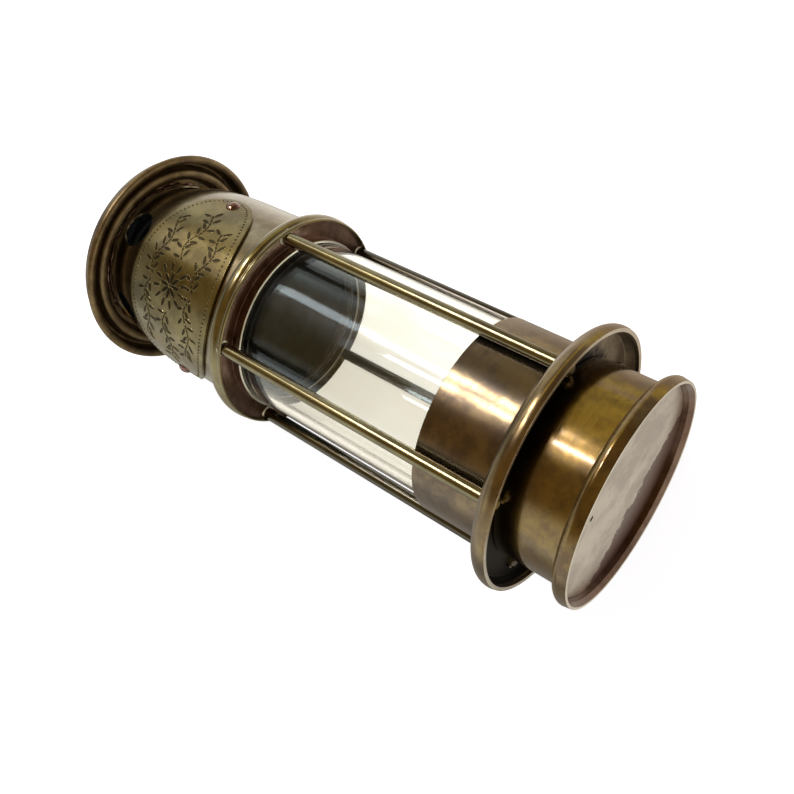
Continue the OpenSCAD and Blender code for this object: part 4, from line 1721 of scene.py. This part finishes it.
    def build(self, finishes: Finishes) -> None:
        """Builds and dresses the cage.

        Args:
            finishes: Finishes of the lamp.
        """
        ring, base = turned("base_ring_band", self.base_ring()), Extent.of("base_ring")
        within = base.radius - self.base_wall + self.soot_shade_inset
        soot_shade_level, painted_glint = base.low + self.soot_shade_above, base.low + self.foot_glint
        recoat(
            ring,
            finishes.ring,
            # near-black inside of the ring: real blackening and painted shade
            (finishes.soot_and_shade, lambda at, way: at.xy.length < within and way.z < UPWARD and at.z > soot_shade_level),
            # painted highlight along the ring's bottom rim
            (finishes.painted_glint, lambda at, way: at.z < painted_glint and way.z < DOWNWARD),
        )
        place(ring, Body.CAGE, Slot.POLISHED, finishes.ring, "base_ring")
        sleeve = Extent.of("lower_sleeve")
        wall = walled(sleeve.radius - self.sleeve_wall, sleeve)
        tube = turned("sleeve_tube", eased(wall, self.sleeve_edge))
        place(tube, Body.CAGE, Slot.POLISHED, finishes.sleeve, "lower_sleeve")
        upper, under = turned("upper_ring_band", self.upper_ring()), Extent.of("upper_gasket").high
        lip = Extent.of("upper_ring").radius - self.shade_inset
        collar_end, collar = under - self.collar_drop + self.collar_glint[0], lip - self.collar_glint[1]
        recoat(
            upper,
            finishes.golden,
            (finishes.shade, lambda at, way: way.z < UPWARD and at.xy.length < lip),
            # painted highlight along the lower edge of the glass's collar
            (finishes.painted_glint, lambda at, way: at.z < collar_end and at.xy.length < collar),
        )
        place(upper, Body.CAGE, Slot.GOLDEN, finishes.golden, "upper_ring")
        glass = Extent.of("glass_chimney")
        wall = walled(glass.radius - self.glass_wall, glass)
        chimney = turned("glass_tube", eased(wall, self.glass_edge), self.glass_steps)
        recoat(chimney, finishes.glass, (finishes.ground, lambda at, way: abs(way.z) > LEVEL))
        place(chimney, Body.CAGE, Slot.GLASS, finishes.glass, "glass_chimney")
        rods = self.round_pillars("pillars", self.pillar(), finishes.rod, 0)
        nodes = [f"pillar_{i}" for i in range(1, self.pillars + 1)]
        place(rods, Body.CAGE, Slot.GOLDEN, finishes.rod, *nodes)
        place_copies((
            ("tenon_washers", "pillar_washers", Body.CAGE, Slot.TINNED, finishes.tinned),
            ("tank_socket_ring", "tank_socket", Body.CAGE, Slot.DARK, finishes.dark),
            ("glass_gallery_ring", "glass_gallery", Body.CAGE, Slot.DARK, finishes.dark),
            ("lower_gasket_ring", "lower_gasket", Body.CAGE, Slot.CORK, finishes.cork),
            ("upper_gasket_ring", "upper_gasket", Body.CAGE, Slot.CORK, finishes.cork),
        ))
        low, high = base.high - self.base_wall - self.bead_sinks[0], under - self.bead_sinks[1]
        seeds = self.bead_seeds
        for name, bead, size, seed, level, material in (
            ("solder_under_base", "low_bead", self.low_bead, seeds[0], low, finishes.solder),
            ("solder_under_flange", "high_bead", self.high_bead, seeds[1], high, finishes.tinned),
        ):
            beads = self.round_pillars(name, solder_drop(bead, size, seed), material, level)
            place(beads, Body.CAGE, Slot.TINNED, material)


@dataclass
class Cap:
    """The spun cap with its rolled rim, ring bead and low dome, and the hanger on top of it."""

    sheet: float = 0.8
    rim_bead: float = 1.2
    ring_bead: float = 1.7
    ring_inset: float = 6.05
    bead_rise: float = 0.15
    cove: float = 0.8
    swell: float = 0.12
    swell_steps: int = 12
    hole_radius: float = 3.25
    cove_shift: Pair = (1.2, 0.75)
    cove_turn: Pair = (40, 165)
    rim_rise: float = 0.9
    bead_foot: float = 1.3
    boss_land: float = 1
    edge: float = 0.2
    lining_gap: Pair = (0.05, 0.1)

    def outline(self) -> list[Pair]:
        """Outline of the cap's sheet and its rolled rim.

        Returns:
            Points of radius and height, from the rim in to the hole, back and round the rim.
        """
        cap, seat, boss = Extent.of("cap"), Extent.of("bonnet").high, Extent.of("hanger_boss")
        rim = (cap.radius - self.rim_bead, cap.low + self.rim_bead)
        bead = (cap.radius - self.ring_inset, rim[1] + self.ring_bead - self.bead_rise)
        aside, rise = self.cove_shift
        cove = (bead[0] + self.ring_bead + aside * self.cove, bead[1] + rise * self.ring_bead)
        foot, land = dome_foot_radius(), (boss.radius + self.boss_land, cap.high - self.sheet)
        path = [rim, (cove[0] + aside * self.cove, bead[1] + self.rim_rise * self.ring_bead)]
        path += arc(cove, self.cove, *self.cove_turn, steps=10)
        path += arc(bead, self.ring_bead, 0, -180, steps=24)
        path += [(bead[0] - self.bead_foot * self.ring_bead, seat), (foot, seat)]
        start, way = Vector((foot, seat)), Vector(land) - Vector((foot, seat))
        for i in range(1, self.swell_steps + 1):
            t = i / self.swell_steps
            swell = self.swell * way.length * math.sin(math.pi * t)
            path.append((start.x + way.x * t, start.y + way.y * t + swell))
        path.append((self.hole_radius, land[1]))
        both = swept(path, self.sheet)
        under, top = both[: len(path)], both[len(path) :]
        lean = math.degrees(math.atan2(path[1][1] - rim[1], path[1][0] - rim[0]))
        open_by = math.degrees(math.asin(self.sheet / self.rim_bead))
        rolled = arc(rim, self.rim_bead, lean - open_by, lean - 360, steps=36)
        return eased(under[1:] + top[:-1] + rolled, self.edge)

    def build(self, finishes: Finishes) -> None:
        """Builds and dresses the cap, the boss, the swivel and the hanging ring.

        Args:
            finishes: Finishes of the lamp.
        """
        dish = turned("cap_dish", self.outline())
        foot = dome_foot_radius() + self.lining_gap[0]
        level = Extent.of("bonnet").high - self.lining_gap[1]
        within = (finishes.inside, lambda at, way: at.xy.length < foot and way.z < 0 and at.z > level)
        recoat(dish, finishes.cap, within)
        place(dish, Body.CAGE, Slot.POLISHED, finishes.cap, "cap")
        place_copies((
            ("boss", "hanger_boss", Body.CAGE, Slot.GOLDEN, finishes.golden),
            ("swivel", "swivel_eye", Body.SWIVEL, Slot.GOLDEN, finishes.golden),
            ("swivel_stop", "swivel_washer", Body.SWIVEL, Slot.TINNED, finishes.tinned),
            ("ring_loop", "hanging_ring", Body.RING, Slot.GOLDEN, finishes.golden),
        ))


def dome_foot_radius() -> float:
    """Radius at which the bonnet's flange ends and the cap's dome starts."""
    bonnet = Bonnet()
    return bonnet.shoulder_radius - bonnet.draw - bonnet.wall - bonnet.flange


@dataclass(frozen=True)
class Pane:
    """One bright pane of the window, by its place in the sky, its size in metres and its glow."""

    side: float
    tilt: float
    width: float
    height: float
    glow: float


@dataclass
class Studio:
    """Camera, white floor and window light, as where the lamp lies on its side to be photographed.

    The clipping distances and the window's distance are in metres. The spans are places on the floor,
    across the lamp and along its axis, between which its mirrored light changes.
    """

    lens: float = 40.2
    eye: Triple = (0.0, -209.2, -46.0)
    right: Triple = (0.4624, 0.4334, -0.7736)
    up: Triple = (0.8864, -0.2032, 0.4160)
    panes: tuple[Pane, ...] = (
        Pane(0.2, 23, 0.08, 0.42, 26.0),
        Pane(0.38, 29.5, 0.12, 0.3, 22.0),
        Pane(0.38, 42, 0.16, 0.17, 3.5),
        Pane(0.06, 24, 0.2, 0.5, 0.8),
        Pane(0.2, 53, 0.42, 0.4, 0.9),
    )
    far: float = 1.2
    floor_half: float = 1600
    sensor: float = 36
    near_clip: float = 0.005
    far_clip: float = 20
    white: Rgb = (1.0, 1.0, 1.0)
    black: Rgb = (0.0, 0.0, 0.0)
    pale: Rgb = (0.88, 0.9, 0.84)
    gold: Rgb = (0.95, 0.8, 0.2)
    dusk: Rgb = (0.26, 0.175, 0.06)
    beige: Rgb = (0.72, 0.67, 0.56)
    dim: Rgb = (0.12, 0.085, 0.06)
    paper: Rgb = (0.8, 0.8, 0.8)
    seen: Rgb = (0.78, 0.8, 0.86)
    foot_end: tuple[Rgb, Rgb] = ((0.25, 0.225, 0.19), (0.48, 0.38, 0.28))
    cap_end: tuple[Rgb, Rgb] = ((0.5, 0.48, 0.42), (1.0, 0.95, 0.86))
    behind_glass: tuple[Rgb, Rgb] = ((0.97, 0.98, 0.86), (0.66, 0.63, 0.53))
    before_foot: Rgb = (0.62, 0.57, 0.5)
    beneath: Rgb = (0.05, 0.045, 0.035)
    horizon: Pair = (0.34, 0.66)
    wall: Pair = (0.36, 0.6)
    gold_from: Pair = (0.1, 0.19)
    gold_to: Pair = (0.27, 0.34)
    dim_to: Pair = (0.42, 0.52)
    dim_share: float = 0.8
    end_from: Pair = (0.6, 0.84)
    end_share: float = 0.55
    lit_span: Pair = (-60, 60)
    cap_span: Pair = (50, 130)
    pale_span: Pair = (-90, -300)
    beige_span: Pair = (40, 130)
    side_span: Pair = (60, 300)
    before_span: Pair = (2, -4)
    beneath_span: Pair = (20, 60)
    beneath_rise: Pair = (2, 30)
    beneath_share: float = 0.7
    glass_span: Pair = (10, 3)
    first_mirror: float = 0.5

    def camera(self) -> None:
        """Sets up the camera where the photograph was taken from."""
        data = bpy.data.cameras.new("camera")
        data.lens, data.sensor_width = self.lens, self.sensor
        data.clip_start, data.clip_end = self.near_clip, self.far_clip
        view = new_object("camera", data)
        right = Vector(self.right).normalized()
        back = right.cross(Vector(self.up)).normalized()
        turn = Matrix((right, back.cross(right), back)).transposed().to_4x4()
        view.matrix_world = Matrix.Translation(Vector(self.eye) * MM) @ turn
        bpy.context.scene.camera = view

    @staticmethod
    def span(g: Graph, value: bpy.types.NodeSocket, edges: Pair, *ends: float) -> bpy.types.NodeSocket:
        """Eases a length between two places that are given in millimetres."""
        return g.ease(value, edges[0] * MM, edges[1] * MM, *ends)

    def floor(self) -> None:
        """Lays the lamp's far side on a white floor, which is open from behind."""
        base, cap = Extent.of("base_ring"), Extent.of("cap")
        slope = (cap.radius - base.radius) / (cap.low - base.low)
        half = self.floor_half
        square = ((-half, -half), (half, -half), (half, half), (-half, half))
        corners = [Vector((x, base.radius + slope * (z - base.low), z)) * MM for x, z in square]
        floor = plain_mesh("floor", corners, [[0, 1, 2, 3]], False)
        material, g, shader = new_material("white_floor")
        rays = g.add("ShaderNodeLightPath").outputs
        across, _, along = g.split(g.object_at())
        # Painted light and shade in what metal mirrors: the floor is brighter on the window's side.
        lit_side = self.span(g, across, self.lit_span)
        foot_end, cap_end = g.blend(lit_side, *self.foot_end), g.blend(lit_side, *self.cap_end)
        mirrored = g.blend(self.span(g, along, self.cap_span), foot_end, cap_end)
        mirrored = g.blend(self.span(g, across, self.pale_span), mirrored, self.pale)
        side = g.blend(self.span(g, along, self.beige_span), self.gold, self.beige)
        mirrored = g.blend(self.span(g, across, self.side_span), mirrored, side)
        mirrored = g.blend(self.span(g, along, self.before_span), mirrored, self.before_foot)
        outside = g.math("SUBTRACT", 1.0, rays["Is Transmission Ray"])
        metal = g.math("MULTIPLY", rays["Is Glossy Ray"], outside)
        # Painted shadow: metal mirrors a dark floor close round the lamp.
        shaded = self.span(g, g.math("ABSOLUTE", across), self.beneath_span, self.beneath_share, 0)
        shaded = g.math("MULTIPLY", shaded, self.span(g, along, self.beneath_rise))
        mirrored = g.blend(shaded, mirrored, self.beneath)
        # Painted shadow: through the glass the floor turns darker beige on the side away from the window.
        behind_glass = g.blend(self.span(g, across, self.glass_span), *self.behind_glass)
        seen = g.blend(rays["Is Transmission Ray"], self.seen, behind_glass)
        glow = g.add("ShaderNodeEmission", {"Color": g.blend(metal, seen, mirrored), "Strength": 1.0})
        paper = g.add("ShaderNodeBsdfDiffuse", {"Color": g.blend(metal, self.paper, self.black)})
        lit = g.add("ShaderNodeAddShader", {0: glow.outputs[0], 1: paper.outputs[0]})
        clear = g.add("ShaderNodeBsdfTransparent")
        behind = g.add("ShaderNodeNewGeometry").outputs["Backfacing"]
        sides = g.add("ShaderNodeMixShader", {0: behind, 1: lit.outputs[0], 2: clear.outputs[0]})
        output = material.node_tree.nodes["Material Output"]
        material.node_tree.links.new(sides.outputs[0], output.inputs["Surface"])
        material.node_tree.nodes.remove(shader)
        floor.data.materials.append(material)

    def window(self) -> None:
        """Hangs the tall soft panes of the window over the lamp."""
        for number, pane in enumerate(self.panes, 1):
            tilt = math.radians(pane.tilt)
            reach = math.sqrt(1 - pane.side**2)
            way = Vector((pane.side, -reach * math.cos(tilt), reach * math.sin(tilt)))
            tall = Vector((0, -math.sin(tilt), -math.cos(tilt)))
            across = tall.cross(way)
            data = bpy.data.lights.new(f"pane_{number}", "AREA")
            data.shape = "RECTANGLE"
            data.size, data.size_y = pane.width, pane.height
            data.energy = pane.glow * math.pi * data.size * data.size_y
            light = new_object(data.name, data)
            turn = Matrix((across, tall, way)).transposed().to_4x4()
            light.matrix_world = Matrix.Translation(way * self.far) @ turn
            light.visible_camera = False

    def world(self) -> None:
        """Surrounds the lamp with a pale horizon, a warm wall on one side and a dim room above."""
        world = bpy.data.worlds.new("room")
        world.use_nodes = True
        bpy.context.scene.world = world
        tree = world.node_tree
        tree.nodes.clear()
        g = Graph(tree)
        across, depth, along = g.split(g.add("ShaderNodeTexCoord").outputs["Generated"])
        level = g.math("MULTIPLY", depth, -1.0)
        room = g.blend(g.ease(level, *self.horizon), self.pale, self.dusk)
        beside = g.ease(across, *self.wall)
        low = g.math("MULTIPLY", g.ease(along, *self.gold_to, 1, 0), g.ease(along, *self.gold_from))
        dim = g.math("MULTIPLY", beside, g.ease(along, *self.dim_to, self.dim_share, 0))
        room = g.blend(dim, room, self.dim)
        room = g.blend(g.math("MULTIPLY", beside, low), room, self.gold)
        ended = g.ease(along, *self.end_from, 0, self.end_share)
        room = g.blend(g.math("MULTIPLY", ended, g.math("SUBTRACT", 1.0, beside)), room, self.black)
        rays = g.add("ShaderNodeLightPath").outputs
        direct = g.math("LESS_THAN", rays["Glossy Depth"], self.first_mirror)
        through = g.math("MULTIPLY", rays["Is Transmission Ray"], direct)
        colour = g.blend(g.math("MAXIMUM", rays["Is Camera Ray"], through), room, self.white)
        glow = g.add("ShaderNodeBackground", {"Color": colour, "Strength": 1.0})
        g.add("ShaderNodeOutputWorld", {0: glow.outputs[0]})

    def build(self) -> None:
        """Builds the whole studio."""
        self.camera()
        self.floor()
        self.window()
        self.world()
        bpy.context.scene.view_settings.view_transform = "Standard"


def main() -> None:
    """Builds every part of the lamp around the frame, then the studio."""
    logging.basicConfig(level=logging.INFO, format="%(message)s")
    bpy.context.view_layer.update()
    finishes = Finishes()
    bonnet = Bonnet()
    for part in (Tank(), Cage(), bonnet, NamePlate(bonnet), Cap()):
        part.build(finishes)
    Studio().build()
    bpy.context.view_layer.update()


if __name__ == "__main__":
    main()
